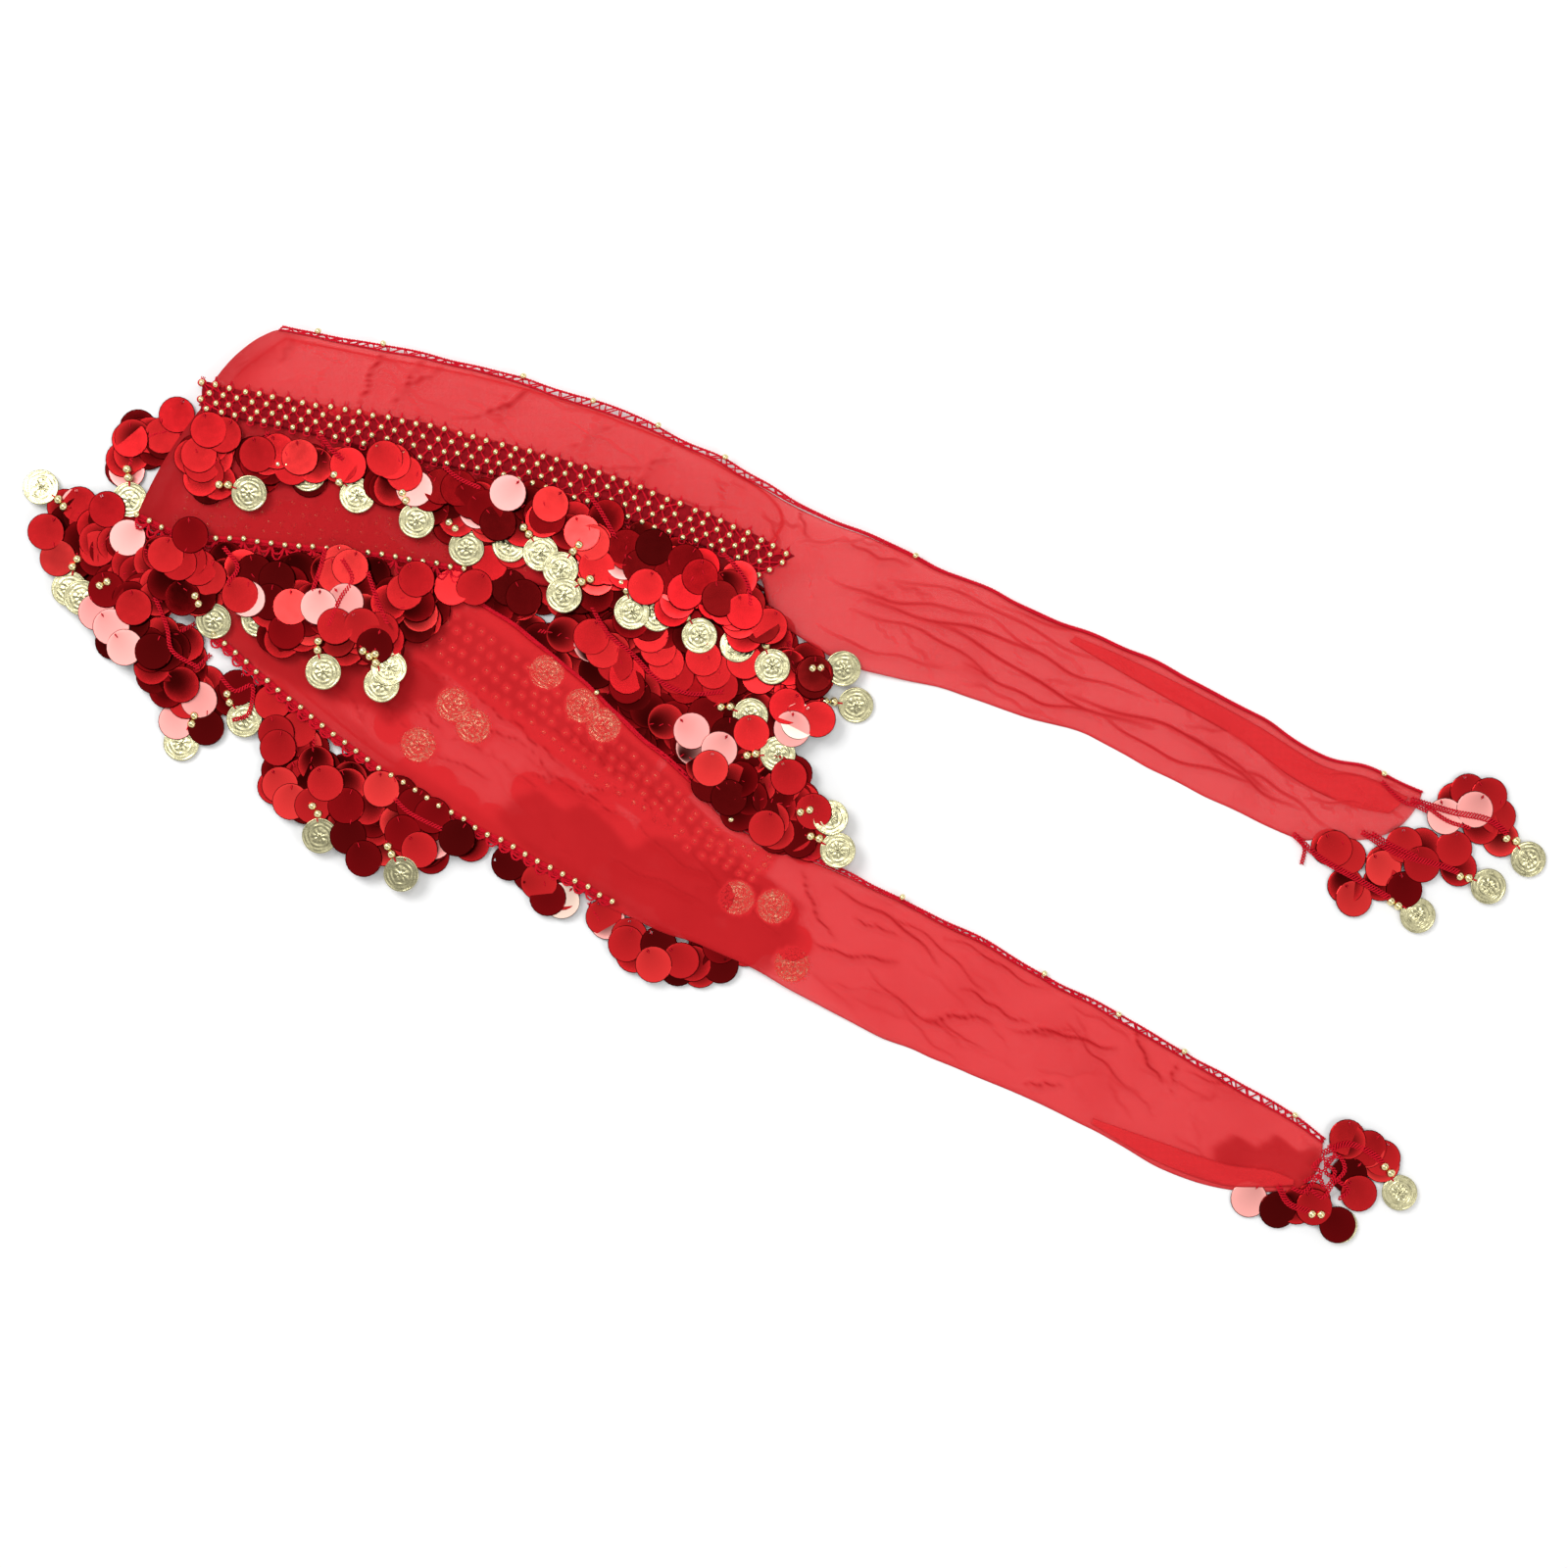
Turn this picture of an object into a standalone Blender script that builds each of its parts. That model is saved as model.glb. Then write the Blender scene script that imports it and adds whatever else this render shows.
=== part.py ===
"""Belly dance hip scarf, folded at the left hip and laid flat on a surface.

Millimetres inside the script, metres in the scene. X runs along the folded scarf to the
tie tails, Y towards the waist edge of the upper half, Z up from the surface it lies on.
The origin is at the middle of the whole outline, on that surface.
"""

import math
from collections import namedtuple

import bmesh
import bpy
from mathutils import Vector

MM = 0.001
MIDDLE = (0.0, -1.7)    # middle of the outline in the tables below, which becomes the origin

# Driving sizes, in millimetres
CLOTH = 1.2             # wall of one chiffon layer
GAP = 0.3               # clearance between pieces that touch
CORE_HEIGHT = 5.0       # pile of hidden layers between the two halves
FOLD_RIDGE = 1.5        # height of a large crease above its wall
BAND_THICK = 2.2        # crocheted band over its bead rows
BAND_RIB = 0.7          # depth between two bead rows
BAND_ROWS_OF_BEADS = 4
TRIM_THICK = 1.4        # narrow crocheted edges
TRIM_WIDTH = 2.2
TRIM_SCALLOP = 0.8      # how far every other loop of the trim reaches out
EDGE_WIDTH = 6.0        # crocheted edge with one row of beads
EDGE_INSET = 1.0        # cloth left bare outside such an edge
PAILLETTE = 20.5        # diameter of a paillette
COIN = 20.0             # diameter of a coin
COIN_THICK = 1.5
STRAND_THICK = 2.2      # chain with its stack of paillettes
CHAIN_WIDTH = 5.0       # bare chain at the root and at the coin
LOBE_WIDTH = 19.0       # strand at a paillette
WAIST_WIDTH = 12.5      # strand between two paillettes
LOBE_SPACING = 5.7      # from a paillette's middle to the waist between two
STRIP_WIDTH = 3.0       # backing strip that carries the strands
STRIP_OUT = 0.5         # strip beside the cloth, from its border
STRIP_IN = 1.0          # middle of a strip under the cloth, in from its border
TIER_STRIP = 6.0        # height of a strip that hangs two levels of strands
TASSEL_STRIP = 3.0      # height of a tassel's strip
STRAND_RISE = 0.1       # strand above its strip's underside
STAGGER = 0.07          # each next strand of a strip lies this much higher
UPPER_TIP_DROP = 1.5    # tips that hang over the end of the middle panel
TASSEL_BARE = 3         # points at the root of a tassel's strand that are chain alone
CORE_SPACING = 14.0     # between two points of the hidden layers' outline
UPPER_BULGE = (-6.0, 6.0)   # ends of the upper half pushed out along it
MIDDLE_BULGE = (-3.0, 0.0)
LOWER_BULGE = (0.0, 3.0)
CREASE_RIM = 0.01       # share of a panel's width at each side that stays plain

# Steps along and across each panel's grid
TAIL_GRID = (56, 7)
MIDDLE_GRID = (24, 4)
BAND_GRID = (48, 8)
UPPER_TURN_GRID = (20, 2)
LOWER_TURN_GRID = (12, 2)

# Heights of the stacked layers, worked out from the sizes above
LOWER_BASE = CORE_HEIGHT + GAP
MIDDLE_BASE = LOWER_BASE + CLOTH + GAP
UPPER_BASE = MIDDLE_BASE + CLOTH + GAP
BAND_BASE = UPPER_BASE + CLOTH + GAP
TURN_BASE = CLOTH + GAP

Row = namedtuple("Row", "edge_x edge_y hem_x hem_y height")
Crease = namedtuple("Crease", "start_x start_y end_x end_y width")
Strand = namedtuple("Strand", "root_x root_y bend_x bend_y turn_x turn_y tip_x tip_y height coin")

# Upper half and its tie tail: waist edge, hem under the band, share of the layer height
UPPER_ROWS = [
    Row(-276, 252, -322, 208, 1.0),
    Row(-249, 247, -298, 203, 1.0),
    Row(-206, 239, -259, 195, 1.0),
    Row(-157, 228, -206, 182, 1.0),
    Row(-109, 212, -158, 172, 1.0),
    Row(-60, 193, -113, 158, 1.0),
    Row(-19, 171, -70, 142, 1.0),
    Row(16, 151, -30, 128, 1.0),
    Row(43, 139, -14, 113, 1.0),
    Row(64, 129, -8, 96, 0.7),
    Row(86, 119, 11, 78, 0.5),
    Row(113, 107, 43, 63, 0.35),
    Row(145, 91, 83, 53, 0.08),
    Row(185, 76, 126, 39, 0.0),
    Row(222, 58, 167, 26, 0.0),
    Row(261, 37, 207, 5, 0.0),
    Row(297, 15, 242, -12, 0.0),
    Row(323, 9, 281, -30, 0.0),
    Row(352, -5, 294, -31, 0.0),
]

# Middle panel: top edge under the band, hem with its beaded edge
MIDDLE_ROWS = [
    Row(-319, 209, -358, 144, 1.0),
    Row(-298, 205, -333, 133, 1.0),
    Row(-271, 199, -300, 130, 1.0),
    Row(-238, 193, -265, 126, 1.0),
    Row(-206, 186, -227, 122, 1.0),
    Row(-173, 178, -190, 116, 1.0),
    Row(-130, 166, -146, 110, 1.0),
    Row(-87, 151, -100, 106, 1.0),
    Row(-50, 134, -55, 106, 1.0),
    Row(-22, 119, -21, 106, 1.0),
]

# Lower half and its tie tail: waist edge, hem
LOWER_ROWS = [
    Row(-246, 167, -340, 126, 1.0),
    Row(-217, 137, -322, 86, 1.0),
    Row(-192, 117, -303, 68, 1.0),
    Row(-164, 98, -273, 42, 1.0),
    Row(-142, 83, -239, 15, 1.0),
    Row(-111, 57, -198, -12, 1.0),
    Row(-78, 25, -153, -38, 1.0),
    Row(-54, 5, -114, -59, 1.0),
    Row(-28, -21, -79, -77, 1.0),
    Row(15, -40, -22, -100, 0.85),
    Row(65, -63, 38, -133, 0.25),
    Row(108, -85, 77, -150, 0.0),
    Row(164, -116, 129, -172, 0.0),
    Row(201, -136, 167, -190, 0.0),
    Row(242, -161, 206, -212, 0.0),
    Row(282, -183, 242, -224, 0.0),
    Row(299, -195, 281, -226, 0.0),
]

# Beaded band on the upper half: top row of beads, bottom row of beads
BAND_ROWS = [
    Row(-320, 220, -321, 206, 1.0),
    Row(-296, 215, -298, 201, 1.0),
    Row(-254, 207, -259, 193, 1.0),
    Row(-200, 197, -206, 180, 1.0),
    Row(-152, 185, -158, 170, 1.0),
    Row(-104, 171, -113, 156, 1.0),
    Row(-60, 154, -70, 140, 1.0),
    Row(-22, 138, -30, 126, 1.0),
    Row(4, 124, -14, 114, 1.0),
]

# Doubled bands: the waist side of the cloth turned over onto the tail
UPPER_TURN_ROWS = [
    Row(160, 81, 157, 78, 0.0),
    Row(184, 71, 177, 66, 0.0),
    Row(221, 53, 210, 47, 0.0),
    Row(260, 32, 249, 25, 0.0),
    Row(296, 10, 281, 2, 0.0),
    Row(322, 3, 310, -12, 0.0),
    Row(344, -8, 333, -17, 0.0),
]
LOWER_TURN_ROWS = [
    Row(170, -185, 169, -188, 0.0),
    Row(207, -198, 203, -208, 0.0),
    Row(243, -210, 238, -221, 0.0),
    Row(266, -213, 262, -223, 0.0),
    Row(285, -208, 280, -222, 0.0),
]

# Large creases, each with its two ends and its width
UPPER_CREASES = [
    Crease(60, 118, 172, 58, 9),
    Crease(70, 96, 160, 52, 8),
    Crease(96, 62, 240, 5, 9),
    Crease(-214, 226, -232, 206, 9),
    Crease(-130, 206, -152, 186, 9),
]
LOWER_CREASES = [
    Crease(15, -88, 62, -102, 9),
    Crease(37, -74, 62, -86, 8),
    Crease(126, -138, 184, -146, 9),
    Crease(190, -136, 208, -167, 8),
    Crease(76, -131, 114, -131, 8),
    Crease(-140, 20, -100, -22, 12),
    Crease(-120, 34, -70, -24, 12),
]

# Outline of the hidden layers, clockwise from the top of the fold
CORE_OUTLINE = [
    (-276, 247), (-221, 236), (-166, 225), (-109, 208), (-55, 186), (-11, 162), (0, 142), (-20, 122),
    (-55, 117), (-100, 116), (-142, 118), (-158, 100), (-149, 74), (-119, 47), (-88, 14), (-64, -8),
    (-42, -32), (-44, -52), (-64, -70), (-84, -65), (-119, -46), (-158, -26), (-203, 0), (-241, 27),
    (-272, 53), (-300, 80), (-315, 93), (-327, 122), (-343, 146), (-330, 172), (-311, 206), (-312, 215),
    (-298, 231),
]
CORE_PROFILE = [(0.0, 0.0), (0.0, 1.4), (1.0, 1.6), (0.6, 3.0), (1.8, 3.3), (1.4, 4.5), (2.4, CORE_HEIGHT)]

# Fringe: strands from their roots in a backing strip to their tips, mostly ending in a coin.
# height is how far the strand lies above the surface under its tier.
UPPER_FRINGE = [
    [
        Strand(-311, 199, -321, 182, -313, 167, -294, 159, 0.0, True),
        Strand(-284, 193, -285, 184, -277, 175, -262, 170, 3.0, True),
        Strand(-254, 188, -253, 177, -245, 167, -235, 158, 0.0, True),
    ],
    [
        Strand(-223, 180, -219, 172, -209, 160, -202, 144, 3.0, True),
        Strand(-197, 174, -192, 161, -183, 143, -175, 129, 0.0, True),
        Strand(-172, 169, -170, 157, -159, 143, -151, 131, 3.0, True),
    ],
    [
        Strand(-150, 162, -143, 150, -141, 137, -134, 126, 0.0, True),
        Strand(-127, 155, -124, 143, -115, 130, -123, 117, 3.0, True),
        Strand(-106, 147, -102, 131, -105, 115, -121, 103, 0.0, True),
        Strand(-86, 141, -87, 128, -88, 112, -84, 94, 3.0, True),
    ],
    [
        Strand(-67, 133, -65, 118, -71, 107, -70, 93, 0.0, True),
        Strand(-55, 128, -53, 113, -57, 99, -47, 81, 3.0, True),
        Strand(-37, 120, -32, 107, -32, 91, -26, 76, 0.0, True),
        Strand(-26, 112, -22, 98, -14, 82, -7, 64, 3.0, True),
    ],
]
MIDDLE_FRINGE = [
    [
        Strand(-333, 122, -338, 116, -327, 104, -314, 89, 0.0, True),
        Strand(-304, 119, -303, 112, -298, 101, -289, 90, 0.0, True),
        Strand(-279, 117, -279, 107, -275, 91, -272, 79, 3.0, False),
    ],
    [
        Strand(-261, 114, -258, 104, -259, 86, -253, 61, 0.0, True),
        Strand(-240, 112, -242, 100, -237, 80, -217, 63, 3.0, True),
        Strand(-222, 110, -224, 100, -225, 80, -221, 54, 0.0, True),
        Strand(-206, 107, -210, 100, -207, 89, -201, 79, 3.0, False),
    ],
]
LOWER_FRINGE = [
    [
        Strand(-317, 71, -327, 59, -325, 42, -333, 22, 0.0, True),
    ],
    [
        Strand(-305, 61, -303, 50, -307, 42, -298, 35, 0.0, True),
    ],
    [
        Strand(-279, 41, -279, 28, -268, 16, -276, -7, 0.0, False),
        Strand(-259, 25, -261, 9, -259, -6, -256, -29, 2.45, True),
        Strand(-242, 12, -245, -6, -240, -25, -232, -42, 0.0, False),
    ],
    [
        Strand(-225, -1, -223, -15, -219, -31, -211, -50, 2.45, True),
        Strand(-206, -12, -205, -23, -201, -33, -197, -40, 0.0, False),
        Strand(-184, -26, -182, -30, -179, -34, -177, -36, 0.0, False),
    ],
    [
        Strand(-154, -44, -151, -46, -148, -47, -145, -49, 0.0, False),
        Strand(-134, -54, -132, -58, -130, -62, -128, -66, 2.45, False),
        Strand(-108, -66, -106, -70, -104, -73, -102, -76, 0.0, False),
    ],
    [
        Strand(-84, -80, -84, -84, -85, -88, -86, -92, 2.45, False),
        Strand(-74, -84, -72, -90, -72, -96, -72, -100, 0.0, False),
        Strand(-61, -89, -56, -95, -49, -98, -38, -100, 0.0, False),
    ],
]
RIGHT_FRINGE = [
    [
        Strand(-136, 84, -125, 82, -115, 77, -107, 70, 2.45, False),
        Strand(-114, 66, -91, 75, -75, 69, -64, 55, 0.0, False),
    ],
    [
        Strand(-98, 50, -70, 53, -43, 45, -19, 37, 2.45, True),
        Strand(-80, 33, -55, 31, -33, 30, -18, 22, 0.0, False),
        Strand(-63, 17, -44, 12, -24, 14, -4, 16, 2.45, True),
    ],
    [
        Strand(-44, 0, -28, 0, -11, 3, 4, 2, 0.0, False),
        Strand(-34, -9, -11, -9, 6, -14, 25, -19, 2.45, True),
        Strand(-22, -22, -4, -21, 10, -28, 29, -37, 0.0, True),
    ],
    [
        Strand(2, 78, 6, 62, 17, 47, 39, 43, 2.45, True),
        Strand(14, 74, 19, 64, 24, 61, 32, 63, 0.0, True),
    ],
]
LEFT_FRINGE = [
    [
        Strand(-331, 192, -341, 194, -359, 185, -361, 156, 0.0, True),
    ],
    [
        Strand(-356, 140, -374, 139, -391, 150, -410, 163, 2.45, True),
    ],
    [
        Strand(-340, 126, -362, 132, -387, 127, -394, 107, 0.0, True),
        Strand(-337, 114, -354, 117, -371, 112, -387, 102, 2.45, True),
        Strand(-331, 101, -350, 100, -365, 87, -362, 75, 0.0, False),
        Strand(-325, 88, -338, 80, -346, 69, -333, 53, 2.45, False),
    ],
]
TASSELS = {
    "tassel_upper_1": [Strand(284, -36, 296, -44, 319, -57, 349, -73, 0.0, True)],
    "tassel_upper_2": [Strand(325, -31, 340, -42, 363, -44, 388, -57, 0.0, True)],
    "tassel_upper_3": [Strand(351, -15, 368, -14, 391, -15, 410, -42, 0.0, True)],
    "tassel_lower_1": [Strand(303, -199, 313, -197, 328, -208, 339, -226, 0.0, True)],
    "tassel_lower_2": [Strand(268, -230, 278, -236, 292, -239, 306, -244, 0.0, True)],
}

# Steps of the panels' grids where the waist trim and the beaded edges begin and end
LOWER_TRIM_FROM = 7
LOWER_EDGE_FROM = 5
LOWER_EDGE_TO = 26
MIDDLE_EDGE_TO = 14


def clear_scene():
    for thing in list(bpy.data.objects):
        bpy.data.objects.remove(thing, do_unlink=True)


def material(name, colour, roughness, metallic=0.0):
    made = bpy.data.materials.new(name)
    made.use_nodes = True
    shader = made.node_tree.nodes["Principled BSDF"]
    shader.inputs["Base Color"].default_value = (*colour, 1.0)
    shader.inputs["Roughness"].default_value = roughness
    shader.inputs["Metallic"].default_value = metallic
    made.diffuse_color = (*colour, 1.0)
    return made


def smooth_step(value):
    value = min(max(value, 0.0), 1.0)
    return value * value * (3.0 - 2.0 * value)


def spline(values, place):
    """Catmull-Rom reading of a column of numbers at a place counted in rows."""
    last = len(values) - 1
    index = min(int(place), last - 1)
    part = place - index
    before = values[index - 1] if index > 0 else 2 * values[0] - values[1]
    after = values[index + 2] if index + 2 <= last else 2 * values[last] - values[last - 1]
    first, second = values[index], values[index + 1]
    return 0.5 * (
        2 * first
        + (second - before) * part
        + (2 * before - 5 * first + 4 * second - after) * part ** 2
        + (3 * first - before - 3 * second + after) * part ** 3
    )


def row_at(rows, place):
    """The section of a table at a place between its rows."""
    numbers = [spline([row[column] for row in rows], place) for column in range(4)]
    index = min(int(place), len(rows) - 2)
    first, second = rows[index].height, rows[index + 1].height
    return Row(*numbers, first + (second - first) * smooth_step(place - index))


def crease_height(x, y, creases):
    """Height of the ridges of the large creases at a point."""
    most = 0.0
    for crease in creases:
        along = Vector((crease.end_x - crease.start_x, crease.end_y - crease.start_y))
        offset = Vector((x - crease.start_x, y - crease.start_y))
        share = offset.dot(along) / along.length_squared
        aside = abs(along.x * offset.y - along.y * offset.x) / along.length
        if 0.0 < share < 1.0 and aside < crease.width:
            ridge = math.cos(0.5 * math.pi * aside / crease.width) ** 2
            most = max(most, FOLD_RIDGE * ridge * math.sin(math.pi * share) ** 0.5)
    return most


def build(name, verts, faces, made):
    """One mesh object from points in millimetres, with its faces turned outwards."""
    mesh = bpy.data.meshes.new(name)
    middle = Vector((*MIDDLE, 0.0))
    mesh.from_pydata([(Vector(point) - middle) * MM for point in verts], [], faces)
    shape = bmesh.new()
    shape.from_mesh(mesh)
    bmesh.ops.recalc_face_normals(shape, faces=shape.faces)
    shape.to_mesh(mesh)
    shape.free()
    mesh.materials.append(made)
    thing = bpy.data.objects.new(name, mesh)
    bpy.context.scene.collection.objects.link(thing)
    return thing


def sections(rows, size, bulge=(0.0, 0.0), trim=0.0):
    """Grid of a panel: for each step along it, its points from the edge to the hem, and the row.

    size counts the grid's steps along and across. bulge pushes the middle of the first and the
    last section out along the panel. trim draws the edge back to make room for a crocheted trim.
    """
    steps, across = size
    grid = []
    for step in range(steps + 1):
        row = row_at(rows, (len(rows) - 1) * step / steps)
        edge = Vector((row.edge_x, row.edge_y))
        hem = Vector((row.hem_x, row.hem_y))
        way = (hem - edge).normalized()
        edge = edge + way * trim
        push = {0: bulge[0], steps: bulge[1]}.get(step, 0.0)
        points = []
        for part in range(across + 1):
            share = part / across
            points.append(edge.lerp(hem, share) + Vector((-way.y, way.x)) * push * math.sin(math.pi * share))
        grid.append((points, row))
    return grid


def wall(name, grid, made, under, thick):
    """A closed wall on a panel's grid.

    under and thick give the underside's height and the wall's thickness, from the point, the
    share across the panel and the row.
    """
    low, high = [], []
    for points, row in grid:
        for part, point in enumerate(points):
            share = part / (len(points) - 1)
            base = under(point, share, row)
            low.append((point.x, point.y, base))
            high.append((point.x, point.y, base + thick(point, share, row)))
    steps, across = len(grid) - 1, len(grid[0][0]) - 1
    columns, count = across + 1, len(low)
    faces = []
    for step in range(steps):
        for part in range(across):
            corner = step * columns + part
            ring = (corner, corner + 1, corner + columns + 1, corner + columns)
            faces.append(tuple(count + index for index in ring))
            faces.append(tuple(reversed(ring)))
    rim = list(range(across))
    rim += [step * columns + across for step in range(steps)]
    rim += [steps * columns + across - part for part in range(across)]
    rim += [(steps - step) * columns for step in range(steps)]
    for corner, after in zip(rim, rim[1:] + rim[:1]):
        faces.append((corner, after, count + after, count + corner))
    return build(name, low + high, faces, made)


def resample(points, spacing):
    """Points along a smooth line through the given ones, about spacing apart."""
    columns = list(zip(*points))
    finer = 12
    fine = [
        Vector([spline(column, place / finer) for column in columns])
        for place in range(finer * (len(points) - 1) + 1)
    ]
    length = sum((after - before).length for before, after in zip(fine, fine[1:]))
    count = max(2, round(length / spacing))
    line, walked, index = [fine[0]], 0.0, 0
    for number in range(1, count):
        target = length * number / count
        while walked + (fine[index + 1] - fine[index]).length < target:
            walked += (fine[index + 1] - fine[index]).length
            index += 1
        piece = fine[index + 1] - fine[index]
        line.append(fine[index] + piece * ((target - walked) / piece.length))
    return line + [fine[-1]]


def tube_faces(count, sides):
    """Faces of a closed tube of rings, with its two ends."""
    faces = []
    for index in range(count - 1):
        corner = sides * index
        for part in range(sides):
            after = (part + 1) % sides
            faces.append((corner + part, corner + after, corner + sides + after, corner + sides + part))
    faces.append(tuple(reversed(range(sides))))
    faces.append(tuple(range(sides * (count - 1), sides * count)))
    return faces


def ribbon(line, widths, thick):
    """Points and faces of a closed four-sided ribbon that lies along a line."""
    verts = []
    for index, point in enumerate(line):
        before = line[max(index - 1, 0)]
        after = line[min(index + 1, len(line) - 1)]
        way = Vector((after.x - before.x, after.y - before.y, 0.0)).normalized()
        side = Vector((-way.y, way.x, 0.0)) * widths[index] / 2
        rise = Vector((0.0, 0.0, thick / 2))
        verts += [point - side - rise, point + side - rise, point + side + rise, point - side + rise]
    return verts, tube_faces(len(line), 4)


def disc(centre, diameter, thick, sides=10):
    """Points and faces of a flat disc."""
    verts = []
    for level in (-thick / 2, thick / 2):
        for index in range(sides):
            turn = 2 * math.pi * (index + 0.5) / sides
            reach = Vector((math.cos(turn), math.sin(turn), 0.0)) * diameter / 2
            verts.append(centre + reach + Vector((0.0, 0.0, level)))
    return verts, tube_faces(2, sides)


def edging(name, border, made, width, thick, base, out, scallop=0.0):
    """A crocheted edge along a border of (point, point further in, row), from the distance out.

    A negative out lays it on the cloth. Every other point reaches further by the scallop.
    """
    verts = []
    for index, (point, inner, row) in enumerate(border):
        way = (point - inner).normalized()
        reach = width + (scallop if index % 2 else 0.0)
        near, far = point + way * out, point + way * (out + reach)
        low = base(row)
        verts += [(near.x, near.y, low), (far.x, far.y, low)]
        verts += [(far.x, far.y, low + thick), (near.x, near.y, low + thick)]
    return build(name, verts, tube_faces(len(border), 4), made)


def edge_of(grid):
    return [(points[0], points[1], row) for points, row in grid]


def hem_of(grid):
    return [(points[-1], points[-2], row) for points, row in grid]


def end_of(grid, last=True):
    end, inner = (grid[-1], grid[-2]) if last else (grid[0], grid[1])
    return [(point, behind, end[1]) for point, behind in zip(end[0], inner[0])]


def snap(x, y, border, out):
    """The border's point nearest to the given one, moved out from the cloth, and its direction."""
    spot = Vector((x, y))
    best = None
    for (first, inner, _), (second, _, _) in zip(border, border[1:]):
        piece = second - first
        share = min(max((spot - first).dot(piece) / piece.length_squared, 0.0), 1.0)
        point = first + piece * share
        if best is None or (point - spot).length < best[0]:
            way = Vector((-piece.y, piece.x)).normalized()
            if way.dot(first - inner) < 0.0:
                way = -way
            best = ((point - spot).length, point + way * out, piece.normalized())
    return best[1:]


def hidden_layers(made):
    """The layers between the two halves, as one solid whose side steps like piled cloth."""
    line = resample([*CORE_OUTLINE, CORE_OUTLINE[0]], CORE_SPACING)[:-1]
    count = len(line)
    verts = []
    for inset, height in CORE_PROFILE:
        for index, point in enumerate(line):
            way = (line[(index + 1) % count] - line[index - 1]).normalized()
            moved = point + Vector((way.y, -way.x)) * inset
            verts.append((moved.x, moved.y, height))
    return build("hidden_layers", verts, tube_faces(len(CORE_PROFILE), count), made)


def join_all(name, shapes, made):
    """One closed body from closed shapes that run into each other."""
    body = build(name, *shapes[0], made)
    for verts, faces in shapes[1:]:
        tool = build(f"{name}_joined", verts, faces, made)
        union = body.modifiers.new("join", "BOOLEAN")
        union.operation = "UNION"
        union.solver = "EXACT"
        union.object = tool
        graph = bpy.context.evaluated_depsgraph_get()
        mesh = bpy.data.meshes.new_from_object(body.evaluated_get(graph))
        body.modifiers.clear()
        body.data = mesh
        bpy.data.objects.remove(tool, do_unlink=True)
    return body


def strand_shapes(strand, root, lift, drop, bare):
    """A strand from its root to its tip, wide at each paillette, and the coin it ends in.

    bare is how many of its first points are chain alone.
    """
    tip = max(lift - drop, GAP + STRAND_THICK / 2)
    corners = [
        (root.x, root.y, lift),
        (strand.bend_x, strand.bend_y, lift),
        (strand.turn_x, strand.turn_y, lift),
        (strand.tip_x, strand.tip_y, tip),
    ]
    line = resample(corners, LOBE_SPACING)
    widths = [LOBE_WIDTH if index % 2 else WAIST_WIDTH for index in range(len(line))]
    widths[:bare] = [CHAIN_WIDTH] * bare
    widths[-2:] = [min(widths[-2], WAIST_WIDTH), CHAIN_WIDTH]
    end = COIN if strand.coin else PAILLETTE
    return [ribbon(line, widths, STRAND_THICK), disc(line[-1], end, COIN_THICK)]


def fringe(name, strands, made, border, out, base, strip_height, drop=0.0, bare=1):
    """A backing strip along a border of the cloth, with the strands that it carries."""
    snapped = [snap(strand.root_x, strand.root_y, border, out) for strand in strands]
    roots = [root for root, _ in snapped]
    turned = 1.0 if len(roots) == 1 or snapped[0][1].dot(roots[1] - roots[0]) > 0.0 else -1.0
    before, after = snapped[0][1] * turned * STRIP_WIDTH, snapped[-1][1] * turned * STRIP_WIDTH
    inner = roots if len(roots) > 1 else []
    spine = [roots[0] - before, *inner, roots[-1] + after]
    line = [Vector((point.x, point.y, base + strip_height / 2)) for point in spine]
    shapes = [ribbon(line, [STRIP_WIDTH] * len(line), strip_height)]
    for number, (strand, root) in enumerate(zip(strands, roots)):
        lift = base + STRAND_RISE + STAGGER * number + strand.height + STRAND_THICK / 2
        shapes += strand_shapes(strand, root, lift, drop, bare)
    return join_all(name, shapes, made)


def upper_under(point, share, row):
    """Underside of the upper half: it lies on the hidden layers, and on the middle panel lower down."""
    over_middle = smooth_step((share - 0.3) / 0.4)
    return row.height * (LOWER_BASE + (UPPER_BASE - LOWER_BASE) * over_middle)


def lower_under(point, share, row):
    return row.height * LOWER_BASE


def level(height):
    return lambda point, share, row: height


def creased(creases):
    """Thickness of a cloth wall with its large creases, plain at its rims."""
    def thick(point, share, row):
        inside = CREASE_RIM < share < 1.0 - CREASE_RIM
        return CLOTH + (crease_height(point.x, point.y, creases) if inside else 0.0)
    return thick


def ribbed(point, share, row):
    """Thickness of the band, a rib for each of its rows of beads."""
    return BAND_THICK - BAND_RIB * (1.0 - math.cos(2 * math.pi * BAND_ROWS_OF_BEADS * share)) / 2


def crocheted_edges(upper, middle, lower, made):
    """Trims beside the waist edges, and beaded edges that lie on the cloth along its hems."""
    waist = lambda row: row.height * LOWER_BASE
    inset = -EDGE_WIDTH - EDGE_INSET
    middle_hem = hem_of(middle)[:MIDDLE_EDGE_TO]
    lower_hem = hem_of(lower)[LOWER_EDGE_FROM:LOWER_EDGE_TO]
    lower_waist = edge_of(lower)[LOWER_TRIM_FROM:]
    edging("waist_trim_upper", edge_of(upper), made, TRIM_WIDTH, TRIM_THICK, waist, GAP, TRIM_SCALLOP)
    edging("waist_trim_lower", lower_waist, made, TRIM_WIDTH, TRIM_THICK, waist, GAP, TRIM_SCALLOP)
    edging("beaded_edge_middle", middle_hem, made, EDGE_WIDTH, TRIM_THICK, lambda row: UPPER_BASE, inset)
    edging("beaded_edge_lower", lower_hem, made, EDGE_WIDTH, TRIM_THICK, lambda row: MIDDLE_BASE, inset)


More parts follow.
